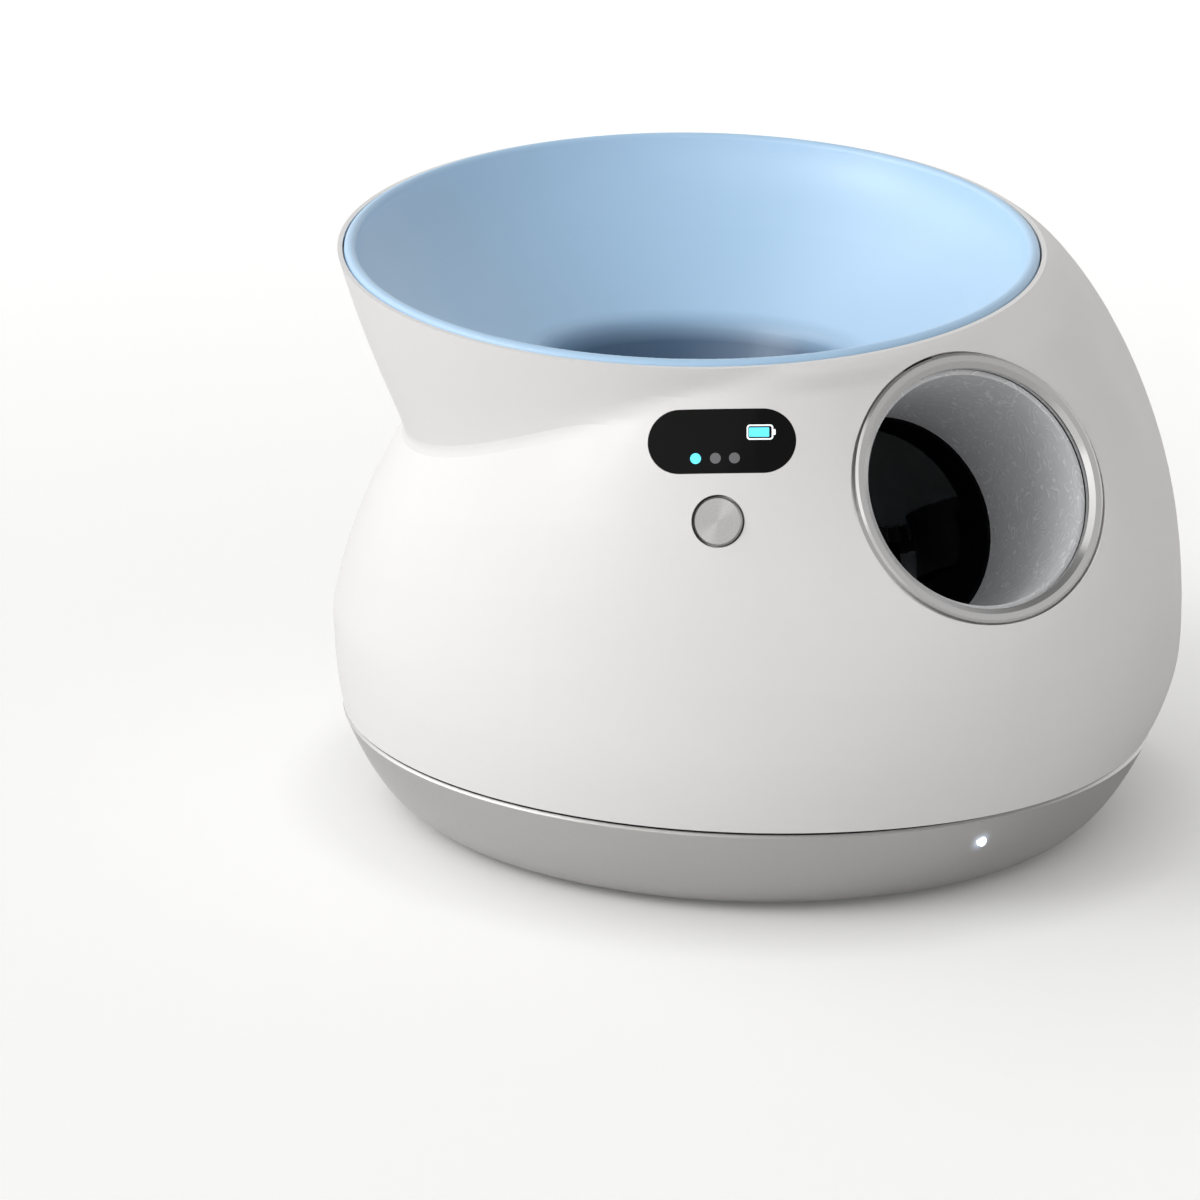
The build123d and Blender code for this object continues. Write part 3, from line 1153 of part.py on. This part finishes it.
pieces = {
    "body_shell": body_shell, "hopper_liner": hopper_liner, "seam_gasket": seam_gasket,
    "base_band": base_band, "status_light": status_light, "base_plate": base_plate,
    "rubber_feet": rubber_feet, "base_screws": base_screws, "chassis": chassis,
    "shell_screws": shell_screws, "port_ring": port_ring, "launch_barrel": launch_barrel,
    "launch_deck": launch_deck, "deck_screws": deck_screws, "wheel_bushes": wheel_bushes,
    "motor_screws": motor_screws, "feed_tube": feed_tube, "ball_sensors": ball_sensors,
    "kicker_arm": kicker_arm, "kicker_gear": kick_gear, "kicker_pin": kicker_pin,
    "kicker_clip": kicker_clip, "feed_motor": feed_motor, "feed_shaft": feed_shaft,
    "feed_pinion": feed_pinion, "display_window": display_window,
    "display_module": display_module, "control_board": control_board,
    "control_screws": control_screws, "power_button": power_button,
    "switch_plunger": switch_plunger, "button_switch": button_switch,
    "battery_cells": battery_cells, "battery_strap": battery_strap, "strap_screws": strap_screws,
    "main_board": main_board, "board_parts": board_parts, "board_screws": board_screws,
    "charging_socket": charging_socket, "socket_nut": socket_nut,
}
for hand, wheel_side in wheel_spots.items():
    pieces[f"{hand}_flywheel_hub"] = flywheel_hub(wheel_side)
    pieces[f"{hand}_flywheel_tyre"] = flywheel_tyre(wheel_side)
    pieces[f"{hand}_motor_shaft"] = motor_shaft(wheel_side)
    pieces[f"{hand}_motor"] = motor(wheel_side)

os.makedirs("parts", exist_ok=True)
for name, piece in pieces.items():
    piece.part.label = name
    export_step(piece.part, f"parts/{name}.step")
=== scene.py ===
import json
from math import cos, pi, radians, sin

import bmesh
import bpy
from mathutils import Matrix, Vector
from mathutils.bvhtree import BVHTree


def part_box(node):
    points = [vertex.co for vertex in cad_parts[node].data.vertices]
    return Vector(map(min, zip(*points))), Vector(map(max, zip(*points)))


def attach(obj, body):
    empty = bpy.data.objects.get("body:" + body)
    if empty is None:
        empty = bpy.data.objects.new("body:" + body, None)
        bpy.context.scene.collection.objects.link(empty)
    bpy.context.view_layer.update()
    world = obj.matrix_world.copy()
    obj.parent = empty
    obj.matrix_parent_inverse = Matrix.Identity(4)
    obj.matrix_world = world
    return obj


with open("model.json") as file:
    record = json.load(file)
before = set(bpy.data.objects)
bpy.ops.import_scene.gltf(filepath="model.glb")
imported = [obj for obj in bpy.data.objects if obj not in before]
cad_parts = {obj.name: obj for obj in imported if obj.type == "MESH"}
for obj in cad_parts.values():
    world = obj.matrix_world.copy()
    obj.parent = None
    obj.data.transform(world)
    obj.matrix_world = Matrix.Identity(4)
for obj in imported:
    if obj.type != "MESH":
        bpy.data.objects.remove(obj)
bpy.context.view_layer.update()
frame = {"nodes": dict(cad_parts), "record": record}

nodes = frame["nodes"]

WHITE = (1.0, 1.0, 1.0)

# Places of the launcher's main features: lengths in metres, angles in degrees
PANEL = Vector((-0.0107819, -0.0946318, 0.1047))
PANEL_TURN, PANEL_RISE = -9.4, 17.4
DISPLAY_LEFT, DISPLAY_UP = 0.0006, 0.0091
DISPLAY_TILT = 4.6
BUTTON_DOWN = 0.0087
LIGHT_TURN = 32.1                   # of the status light, around the base band


def facing(turn, rise):
    """Direction `turn` degrees right of the front and `rise` degrees up."""
    level = cos(radians(rise))
    return Vector((level * sin(radians(turn)), -level * cos(radians(turn)), sin(radians(rise))))


LIGHT_OUT = facing(LIGHT_TURN, 0.0)
PANEL_OUT = facing(PANEL_TURN, PANEL_RISE)
PANEL_RIGHT = facing(PANEL_TURN + 90.0, 0.0)
PANEL_UP = PANEL_OUT.cross(PANEL_RIGHT)
BUTTON = PANEL - BUTTON_DOWN * PANEL_UP
DISPLAY = PANEL - DISPLAY_LEFT * PANEL_RIGHT + DISPLAY_UP * PANEL_UP
TILT_COS, TILT_SIN = cos(radians(DISPLAY_TILT)), sin(radians(DISPLAY_TILT))
DISPLAY_RIGHT = TILT_COS * PANEL_RIGHT + TILT_SIN * PANEL_UP
DISPLAY_UPWARD = TILT_COS * PANEL_UP - TILT_SIN * PANEL_RIGHT


# ---------------------------------------------------------------- materials

# Scales of the noises, per metre
PLASTIC_SHADE, PLASTIC_GLOSS, PLASTIC_GRAIN = 18.0, 60.0, 2600.0
METAL_SHADE, METAL_GLOSS, METAL_GRAIN = 25.0, 900.0, 3500.0
TURNED_GLOSS = 160.0
EMBOSS_CURL, EMBOSS_GAPS, EMBOSS_GLOSS = 230.0, 420.0, 500.0
BUTTON_GROOVES = 9000.0
RUBBER_SHADE, RUBBER_GLOSS, RUBBER_GRAIN = 120.0, 300.0, 1800.0
WINDOW_GLOSS = 40.0
LIT_SHADE = 800.0
BOARD_SHADE, BOARD_TRACKS = 400.0, 900.0
FLOOR_SHADE = 3.0
NOISE_LOW, NOISE_HIGH = 0.3, 0.7    # most of a noise lies between these

# Scales along the three axes: lines around an upright can, tracks along a board
AROUND_CAN = (1.0, 1.0, 12.0)
ALONG_BOARD = (1.0, 8.0, 1.0)

# Heights of the reliefs, in metres
PLASTIC_RELIEF = 0.00002
METAL_RELIEF = 0.00001
EMBOSS_RELIEF = 0.00015
RUBBER_RELIEF = 0.00005
BOARD_RELIEF = 0.00003

# Painted shade darkens the bowl's blue in the throat, and it lightens between two heights
THROAT_PAINTED_SHADE = (0.03, 0.10, 0.20)
THROAT_SHADE_HEIGHTS = (0.1075, 0.1145)

# Raised lines on the barrel: the folds of a noise, broken off where another noise is low
EMBOSS_FOLDS = 6.5
EMBOSS_EDGE = (0.05, 0.16)          # part of a fold over which a line falls off
EMBOSS_BREAK = (0.42, 0.50)
EMBOSS_GROUND = 0.80                # shade of the ground between the lines

# Painted glow of the status light, emitted by the band itself
GLOW_COLOR = (0.62, 0.78, 1.0)
GLOW_FADE = (0.0008, 0.0036)        # metres from the light's axis
GLOW_POWER = 2.2
GLOW_STRENGTH = 0.6
GLOW_SIDE = 0.05                    # metres from the middle, beyond which it shows


class Nodes:
    """A node tree that is built step by step."""

    def __init__(self, tree):
        self.tree = tree

    def node(self, kind, **values):
        """New node with some of its properties set."""
        made = self.tree.nodes.new(kind)
        for key, value in values.items():
            setattr(made, key, value)
        return made

    def link(self, out, into):
        self.tree.links.new(out, into)

    def feed(self, made, values):
        """Give the first inputs of a node their links or fixed values."""
        for value, socket in zip(values, made.inputs):
            if isinstance(value, bpy.types.NodeSocket):
                self.link(value, socket)
            else:
                socket.default_value = value

    def math(self, operation, *values):
        made = self.node("ShaderNodeMath", operation=operation)
        self.feed(made, values)
        return made.outputs[0]

    def vector_math(self, operation, *values):
        made = self.node("ShaderNodeVectorMath", operation=operation)
        self.feed(made, values)
        return made.outputs["Value" if operation in ("DOT_PRODUCT", "LENGTH") else "Vector"]

    def ramp(self, value, low, high, from_low=NOISE_LOW, from_high=NOISE_HIGH):
        """Level between `low` and `high` while a value goes over its own range."""
        made = self.node("ShaderNodeMapRange")
        made.inputs["From Min"].default_value = from_low
        made.inputs["From Max"].default_value = from_high
        made.inputs["To Min"].default_value = low
        made.inputs["To Max"].default_value = high
        self.link(value, made.inputs["Value"])
        return made.outputs[0]

    def mix(self, factor, first, second):
        """Colour between two fixed colours."""
        made = self.node("ShaderNodeMix", data_type="RGBA")
        made.inputs["A"].default_value = (*first, 1.0)
        made.inputs["B"].default_value = (*second, 1.0)
        self.link(factor, made.inputs["Factor"])
        return made.outputs["Result"]


class Finish(Nodes):
    """A material whose textures lie in the launcher's own frame."""

    def __init__(self, name, color, roughness, metallic=0.0):
        self.color = color
        self.roughness = roughness
        self.material = bpy.data.materials.new(name)
        self.material.use_nodes = True
        super().__init__(self.material.node_tree)
        self.tree.nodes.clear()
        output = self.node("ShaderNodeOutputMaterial")
        self.shader = self.node("ShaderNodeBsdfPrincipled")
        self.link(self.shader.outputs[0], output.inputs["Surface"])
        self.set(Base_Color=(*color, 1.0), Roughness=roughness, Metallic=metallic)
        self.place = self.node("ShaderNodeTexCoord").outputs["Object"]

    def set(self, **values):
        """Set inputs of the shader; an underscore stands for a space in their names."""
        for key, value in values.items():
            self.shader.inputs[key.replace("_", " ")].default_value = value

    def noise(self, scale, detail=3.0, stretch=None):
        """Noise of a scale per metre, with its own scale along each axis where asked."""
        made = self.node("ShaderNodeTexNoise")
        made.inputs["Scale"].default_value = scale
        made.inputs["Detail"].default_value = detail
        place = self.place
        if stretch:
            mapping = self.node("ShaderNodeMapping")
            mapping.inputs["Scale"].default_value = stretch
            self.link(place, mapping.inputs["Vector"])
            place = mapping.outputs[0]
        self.link(place, made.inputs["Vector"])
        return made.outputs["Fac"]

    def vary_color(self, value, amount):
        """Shade of the colour that drifts a little with a value."""
        darker = [c * (1 - amount) for c in self.color]
        lighter = [min(c * (1 + amount), 1) for c in self.color]
        self.link(self.mix(value, darker, lighter), self.shader.inputs["Base Color"])

    def vary_roughness(self, value, spread):
        """Roughness that drifts with a value, as much up as down."""
        drift = self.ramp(value, self.roughness - spread, self.roughness + spread)
        self.link(drift, self.shader.inputs["Roughness"])

    def bump(self, value, height, strength):
        made = self.node("ShaderNodeBump")
        made.inputs["Strength"].default_value = strength
        made.inputs["Distance"].default_value = height
        self.link(value, made.inputs["Height"])
        self.link(made.outputs[0], self.shader.inputs["Normal"])


def moulded(name, color, roughness, coat=0.0, specular=0.5):
    """Moulded plastic: fine spark grain, soft drift in shade and gloss."""
    finish = Finish(name, color, roughness)
    finish.vary_color(finish.noise(PLASTIC_SHADE), 0.012)
    finish.vary_roughness(finish.noise(PLASTIC_GLOSS), 0.04)
    finish.bump(finish.noise(PLASTIC_GRAIN, detail=2.0), PLASTIC_RELIEF, 0.5)
    finish.set(Specular_IOR_Level=specular)
    if coat:
        finish.set(Coat_Weight=coat, Coat_Roughness=0.25)
    return finish.material


def liner_finish():
    """Sky-blue moulding with a satin coat, its throat darkened by painted shade."""
    finish = Finish("hopper_plastic", (0.44, 0.66, 0.89), 0.50)
    height = finish.node("ShaderNodeSeparateXYZ")
    finish.link(finish.place, height.inputs[0])
    # Painted shade: below these heights the colour turns to a dark blue
    above_throat_shade = finish.ramp(height.outputs["Z"], 0.0, 1.0, *THROAT_SHADE_HEIGHTS)
    drift = finish.node("ShaderNodeMix", data_type="RGBA", blend_type="MULTIPLY")
    drift.inputs["Factor"].default_value = 1.0
    finish.link(finish.mix(above_throat_shade, THROAT_PAINTED_SHADE, finish.color), drift.inputs["A"])
    finish.link(finish.ramp(finish.noise(PLASTIC_SHADE), 0.985, 1.0), drift.inputs["B"])
    finish.link(drift.outputs["Result"], finish.shader.inputs["Base Color"])
    finish.vary_roughness(finish.noise(PLASTIC_GLOSS), 0.04)
    finish.bump(finish.noise(PLASTIC_GRAIN, detail=2.0), PLASTIC_RELIEF, 0.5)
    finish.set(Coat_Weight=0.9, Coat_Roughness=0.42)
    return finish.material


def satin_metal(name, color, roughness, stretch=None):
    """Bead-blasted metal, or brushed where the noise is stretched."""
    finish = Finish(name, color, roughness, metallic=1.0)
    finish.vary_color(finish.noise(METAL_SHADE), 0.02)
    finish.vary_roughness(finish.noise(METAL_GLOSS, stretch=stretch), 0.06)
    finish.bump(finish.noise(METAL_GRAIN, detail=2.0, stretch=stretch), METAL_RELIEF, 0.25)
    return finish.material


def turned_metal(name, color, roughness):
    """Lathe-turned metal, polished to a soft shine."""
    finish = Finish(name, color, roughness, metallic=1.0)
    finish.vary_color(finish.noise(METAL_SHADE), 0.01)
    finish.vary_roughness(finish.noise(TURNED_GLOSS), 0.03)
    return finish.material


def barrel_finish():
    """Silver paint over an embossed pattern of short curling lines."""
    finish = Finish("barrel_plastic", (0.90, 0.91, 0.93), 0.39, metallic=0.05)
    curl = finish.math("MULTIPLY", finish.noise(EMBOSS_CURL, detail=0.6), EMBOSS_FOLDS)
    fold = finish.math("PINGPONG", finish.math("FRACT", curl), 0.5)
    unbroken = finish.ramp(finish.noise(EMBOSS_GAPS, detail=0.0), 0.0, 1.0, *EMBOSS_BREAK)
    line = finish.math("MULTIPLY", finish.ramp(fold, 1.0, 0.0, *EMBOSS_EDGE), unbroken)
    ground = [EMBOSS_GROUND * c for c in finish.color]
    finish.link(finish.mix(line, ground, finish.color), finish.shader.inputs["Base Color"])
    finish.bump(line, EMBOSS_RELIEF, 0.6)
    finish.vary_roughness(finish.noise(EMBOSS_GLOSS), 0.05)
    return finish.material


def brushed_button():
    """Metal turned in fine circles about the button's axis."""
    finish = Finish("button_metal", (0.36, 0.355, 0.35), 0.27, metallic=1.0)
    from_button = finish.vector_math("SUBTRACT", finish.place, BUTTON)
    around = finish.vector_math("CROSS_PRODUCT", PANEL_OUT, from_button)
    finish.link(finish.vector_math("NORMALIZE", around), finish.shader.inputs["Tangent"])
    groove = finish.node("ShaderNodeTexNoise", noise_dimensions="1D")
    groove.inputs["Scale"].default_value = BUTTON_GROOVES
    finish.link(finish.vector_math("LENGTH", around), groove.inputs["W"])
    finish.vary_roughness(groove.outputs["Fac"], 0.07)
    finish.set(Anisotropic=0.85)
    return finish.material


def band_finish():
    """Satin metal with a painted glow of the status light around its hole."""
    finish = Finish("satin_aluminium", (0.60, 0.59, 0.58), 0.365, metallic=1.0)
    finish.vary_color(finish.noise(METAL_SHADE), 0.015)
    finish.vary_roughness(finish.noise(METAL_GLOSS), 0.035)
    finish.bump(finish.noise(METAL_GRAIN, detail=2.0), METAL_RELIEF, 0.15)
    low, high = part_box("status_light")
    from_light = finish.vector_math("SUBTRACT", finish.place, (Vector(low) + Vector(high)) / 2)
    across = finish.vector_math("CROSS_PRODUCT", from_light, LIGHT_OUT)
    near = finish.ramp(finish.vector_math("LENGTH", across), 1.0, 0.0, *GLOW_FADE)
    outward = finish.vector_math("DOT_PRODUCT", finish.place, LIGHT_OUT)
    on_side = finish.math("GREATER_THAN", outward, GLOW_SIDE)
    glow = finish.math("MULTIPLY", finish.math("POWER", near, GLOW_POWER), on_side)
    # Painted glow: the band itself emits light near the status light
    finish.link(finish.math("MULTIPLY", glow, GLOW_STRENGTH),
                finish.shader.inputs["Emission Strength"])
    finish.set(Emission_Color=(*GLOW_COLOR, 1.0))
    return finish.material


def lit(name, color, strength):
    """Lit symbol or light pipe, with a slight drift in shade."""
    finish = Finish(name, color, 0.3)
    finish.vary_color(finish.noise(LIT_SHADE), 0.02)
    finish.set(Emission_Color=(*color, 1.0), Emission_Strength=strength)
    return finish.material


def rubber(name, color):
    """Matt rubber, a little uneven in shade and gloss."""
    finish = Finish(name, color, 0.765)
    finish.set(Specular_IOR_Level=0.15)
    finish.vary_color(finish.noise(RUBBER_SHADE), 0.12)
    finish.vary_roughness(finish.noise(RUBBER_GLOSS), 0.085)
    finish.bump(finish.noise(RUBBER_GRAIN), RUBBER_RELIEF, 0.5)
    return finish.material


def gloss_window():
    """Black window that mirrors little, so the symbols stay clear."""
    finish = Finish("display_glass", (0.005, 0.005, 0.005), 0.16)
    finish.vary_roughness(finish.noise(WINDOW_GLOSS), 0.04)
    finish.set(Specular_IOR_Level=0.06)
    return finish.material


def solder_mask():
    """Green lacquer over the tracks of a circuit board."""
    finish = Finish("board_green", (0.02, 0.13, 0.06), 0.4)
    finish.vary_color(finish.noise(BOARD_SHADE), 0.3)
    finish.bump(finish.noise(BOARD_TRACKS, stretch=ALONG_BOARD), BOARD_RELIEF, 0.4)
    return finish.material


finishes = {
    "shell_plastic": moulded("shell_plastic", (0.80, 0.79, 0.78), 0.42, coat=0.1),
    "hopper_plastic": liner_finish(),
    "satin_aluminium": band_finish(),
    "polished_aluminium": turned_metal("polished_aluminium", (0.52, 0.515, 0.51), 0.20),
    "barrel_plastic": barrel_finish(),
    "button_metal": brushed_button(),
    "display_glass": gloss_window(),
    "light_pipe": lit("light_pipe", (0.86, 0.92, 1.0), 6.0),
    "dark_rubber": rubber("dark_rubber", (0.02, 0.02, 0.02)),
    # Tyre, gear and mechanism colours: partly their own black, partly painted shade that
    # darkens the inside of the launcher
    "tyre_rubber": rubber("tyre_rubber", (0.007, 0.007, 0.0075)),
    "dark_plastic": moulded("dark_plastic", (0.010, 0.010, 0.0105), 0.5, specular=0.25),
    "mechanism_plastic": moulded("mechanism_plastic", (0.003, 0.003, 0.0032), 0.6,
                                 specular=0.03),
    "gear_plastic": moulded("gear_plastic", (0.012, 0.012, 0.0125), 0.45, specular=0.25),
    "motor_steel": satin_metal("motor_steel", (0.20, 0.20, 0.205), 0.35, stretch=AROUND_CAN),
    "zinc_steel": satin_metal("zinc_steel", (0.25, 0.25, 0.255), 0.3),
    "bronze": satin_metal("bronze", (0.55, 0.38, 0.18), 0.4),
    "cell_wrap": moulded("cell_wrap", (0.02, 0.10, 0.30), 0.3),
    "board_green": solder_mask(),
}
slot_of = {part["node"]: part["material_slot"] for part in frame["record"]["subparts"]}
for name, piece in nodes.items():
    piece.data.materials.clear()
    piece.data.materials.append(finishes[slot_of[name]])


# ---------------------------------------------------------------- display symbols

SYMBOL_LIFT = 0.00006               # above the window
LOOK_FROM, LOOK_LENGTH = 0.02, 0.04     # of the ray that finds the window
CORNER_STEPS = 6

# Sizes and places on the tilted display, right and up from its middle
BATTERY_UP = 0.0019
DOTS_RIGHT, DOTS_UP = (-0.0056, -0.0012, 0.0030), -0.0038
DOT_SIZE, DOT_RADIUS = 0.0024, 0.00119


def mesh_object(name, build):
    """Object at the origin whose mesh is filled by build(bm)."""
    mesh = bpy.data.meshes.new(name)
    bm = bmesh.new()
    build(bm)
    bm.to_mesh(mesh)
    bm.free()
    made = bpy.data.objects.new(name, mesh)
    bpy.context.scene.collection.objects.link(made)
    return made


def surface_of(node):
    """Tree of a node's faces, to cast rays on."""
    bm = bmesh.new()
    bm.from_mesh(nodes[node].data)
    tree = BVHTree.FromBMesh(bm)
    bm.free()
    return tree


window_surface = surface_of("display_window")


def on_window(right, up):
    """Point just above the display window, from its place on the tilted display."""
    above = DISPLAY + right * DISPLAY_RIGHT + up * DISPLAY_UPWARD + LOOK_FROM * PANEL_OUT
    hit = window_surface.ray_cast(above, -PANEL_OUT, LOOK_LENGTH)
    return hit[0] + SYMBOL_LIFT * PANEL_OUT


def rounded(width, height, radius):
    """Outline of a rectangle with round corners, about its middle."""
    points = []
    for corner, (x, y) in enumerate(((1, 1), (-1, 1), (-1, -1), (1, -1))):
        for step in range(CORNER_STEPS + 1):
            angle = pi / 2 * (corner + step / CORNER_STEPS)
            points.append((x * (width / 2 - radius) + radius * cos(angle),
                           y * (height / 2 - radius) + radius * sin(angle)))
    return points


def symbol(name, outline, middle, finish, inner=None):
    """Flat symbol laid on the window: a filled outline, or a frame between two outlines."""
    def build(bm):
        def ring(points):
            return [bm.verts.new(on_window(middle[0] + x, middle[1] + y)) for x, y in points]

        def edges(verts):
            return zip(verts, verts[1:] + verts[:1])

        outer = ring(outline)
        if inner is None:
            centre = bm.verts.new(on_window(*middle))
            for vert, after in edges(outer):
                bm.faces.new((centre, vert, after))
        else:
            for (vert, after), (near, near_after) in zip(edges(outer), edges(ring(inner))):
                bm.faces.new((vert, after, near_after, near))

    made = mesh_object(name, build)
    made.data.materials.append(finish)
    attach(made, "body")


symbol_cyan = lit("symbol_cyan", (0.09, 0.62, 0.75), 0.9)
symbol_white = lit("symbol_white", (0.75, 0.80, 0.82), 0.7)
symbol_grey = lit("symbol_grey", (0.10, 0.10, 0.105), 0.35)

symbol("battery_outline", rounded(0.0058, 0.0034, 0.0007), (0.0086, BATTERY_UP), symbol_white,
       inner=rounded(0.0051, 0.0027, 0.0004))
symbol("battery_tip", rounded(0.0005, 0.0013, 0.0002), (0.01175, BATTERY_UP), symbol_white)
symbol("battery_level", rounded(0.0044, 0.0021, 0.0002), (0.0084, BATTERY_UP), symbol_cyan)
for number, right in enumerate(DOTS_RIGHT, start=1):
    symbol(f"mode_dot_{number}", rounded(DOT_SIZE, DOT_SIZE, DOT_RADIUS), (right, DOTS_UP),
           symbol_cyan if number == 1 else symbol_grey)


# ---------------------------------------------------------------- floor, lights and camera

FLOOR_HALF = 6.0                    # half the width of the floor
FLOOR_GLOW = 0.03                   # soft light from the floor, for every ray
FLOOR_SEEN = 0.29                   # more of it for the camera, near the launcher
FLOOR_SEEN_FAR = 0.42               # and where the floor fades into the white surrounding
FLOOR_PAINTED_SHADOW = 0.15                # part of it that is left under the launcher, for a painted shadow around its base
FLOOR_PAINTED_SHADOW_FROM_TO = (0.084, 0.118)  # metres from the launcher's middle
FLOOR_FADE_FROM_TO = (0.16, 0.90)

FILL_COLOR = (1.0, 0.98, 0.965)
FILL_LEVELS = (0.88, 0.03)          # at the horizon and overhead
FILL_FROM_TO = (0.0, 1.0)           # heights in the sky, 1 is overhead
SURROUND_LEVELS = (1.0, 0.30)       # of the white surrounding, low and high
SURROUND_FROM_TO = (0.30, 0.95)

# Lamp, turn and rise of the side it stands on, strength, spread, colour
LAMPS = (
    ("key", -67.0, 32.0, 1.26, 30.0, (0.99, 0.997, 1.0)),
    ("front", -22.0, 42.0, 0.50, 50.0, WHITE),
    ("side", -112.0, 46.0, 0.78, 50.0, WHITE),
)

CAMERA_PLACE = (-0.037, -0.908, 0.3225)
CAMERA_DOWN, CAMERA_ROLL = 16.8, 1.07
SENSOR_WIDTH, LENS = 36.0, 114.0    # millimetres
CLIP_END = 20.0


def studio_floor():
    """Pale floor that fades into a plain white surrounding away from the launcher, with a
    painted shadow around its base.
    """
    finish = Finish("studio_floor", (0.72, 0.718, 0.716), 0.6)
    finish.vary_color(finish.noise(FLOOR_SHADE), 0.004)
    finish.set(Specular_IOR_Level=0.2, Emission_Color=(*WHITE, 1.0))
    from_middle = finish.vector_math("LENGTH", finish.place)
    fade = finish.ramp(from_middle, FLOOR_SEEN, FLOOR_SEEN_FAR, *FLOOR_FADE_FROM_TO)
    # Painted shadow: less of the camera's glow right around the launcher's base
    painted_shadow = finish.ramp(from_middle, FLOOR_PAINTED_SHADOW, 1.0, *FLOOR_PAINTED_SHADOW_FROM_TO)
    camera_ray = finish.node("ShaderNodeLightPath").outputs["Is Camera Ray"]
    shown = finish.math("MULTIPLY", camera_ray, painted_shadow)
    finish.link(finish.math("MULTIPLY_ADD", shown, fade, FLOOR_GLOW),
                finish.shader.inputs["Emission Strength"])

    def build(bm):
        bm.faces.new([bm.verts.new((x * FLOOR_HALF, y * FLOOR_HALF, 0.0))
                      for x, y in ((-1, -1), (1, -1), (1, 1), (-1, 1))])

    floor = mesh_object("studio_floor", build)
    floor.data.materials.append(finish.material)


def sun_light(name, turn, rise, strength, spread, color):
    """Distant soft lamp that stands `turn` degrees right of the front and `rise` up."""
    data = bpy.data.lights.new(name, "SUN")
    data.energy = strength
    data.angle = radians(spread)
    data.color = color
    lamp = bpy.data.objects.new(name, data)
    lamp.rotation_euler = (-facing(turn, rise)).to_track_quat("-Z", "Y").to_euler()
    bpy.context.scene.collection.objects.link(lamp)


def studio_sky():
    """Fill light that is strongest near the horizon, and the plain white surrounding."""
    world = bpy.data.worlds.new("studio")
    world.use_nodes = True
    sky = Nodes(world.node_tree)
    height = sky.node("ShaderNodeSeparateXYZ")
    sky.link(sky.node("ShaderNodeTexCoord").outputs["Generated"], height.inputs[0])

    def light(color, levels, heights):
        made = sky.node("ShaderNodeBackground")
        made.inputs["Color"].default_value = (*color, 1.0)
        sky.link(sky.ramp(height.outputs["Z"], *levels, *heights), made.inputs["Strength"])
        return made.outputs[0]

    ray = sky.node("ShaderNodeLightPath").outputs
    mirrored = sky.math("MAXIMUM", ray["Is Camera Ray"], ray["Is Glossy Ray"])
    shown = sky.math("MAXIMUM", mirrored, ray["Is Transmission Ray"])
    mix = sky.node("ShaderNodeMixShader")
    sky.feed(mix, (shown,
                   light(FILL_COLOR, FILL_LEVELS, FILL_FROM_TO),
                   light(WHITE, SURROUND_LEVELS, SURROUND_FROM_TO)))
    sky.link(mix.outputs[0], world.node_tree.nodes["World Output"].inputs["Surface"])
    bpy.context.scene.world = world


studio_floor()
for lamp in LAMPS:
    sun_light(*lamp)
studio_sky()
bpy.context.scene.view_settings.view_transform = "Standard"

camera_data = bpy.data.cameras.new("camera")
camera_data.sensor_width = SENSOR_WIDTH
camera_data.lens = LENS
camera_data.clip_end = CLIP_END
camera = bpy.data.objects.new("camera", camera_data)
camera.matrix_world = (Matrix.Translation(CAMERA_PLACE)
                       @ Matrix.Rotation(radians(90.0 - CAMERA_DOWN), 4, "X")
                       @ Matrix.Rotation(radians(CAMERA_ROLL), 4, "Z"))
bpy.context.scene.collection.objects.link(camera)
bpy.context.scene.camera = camera
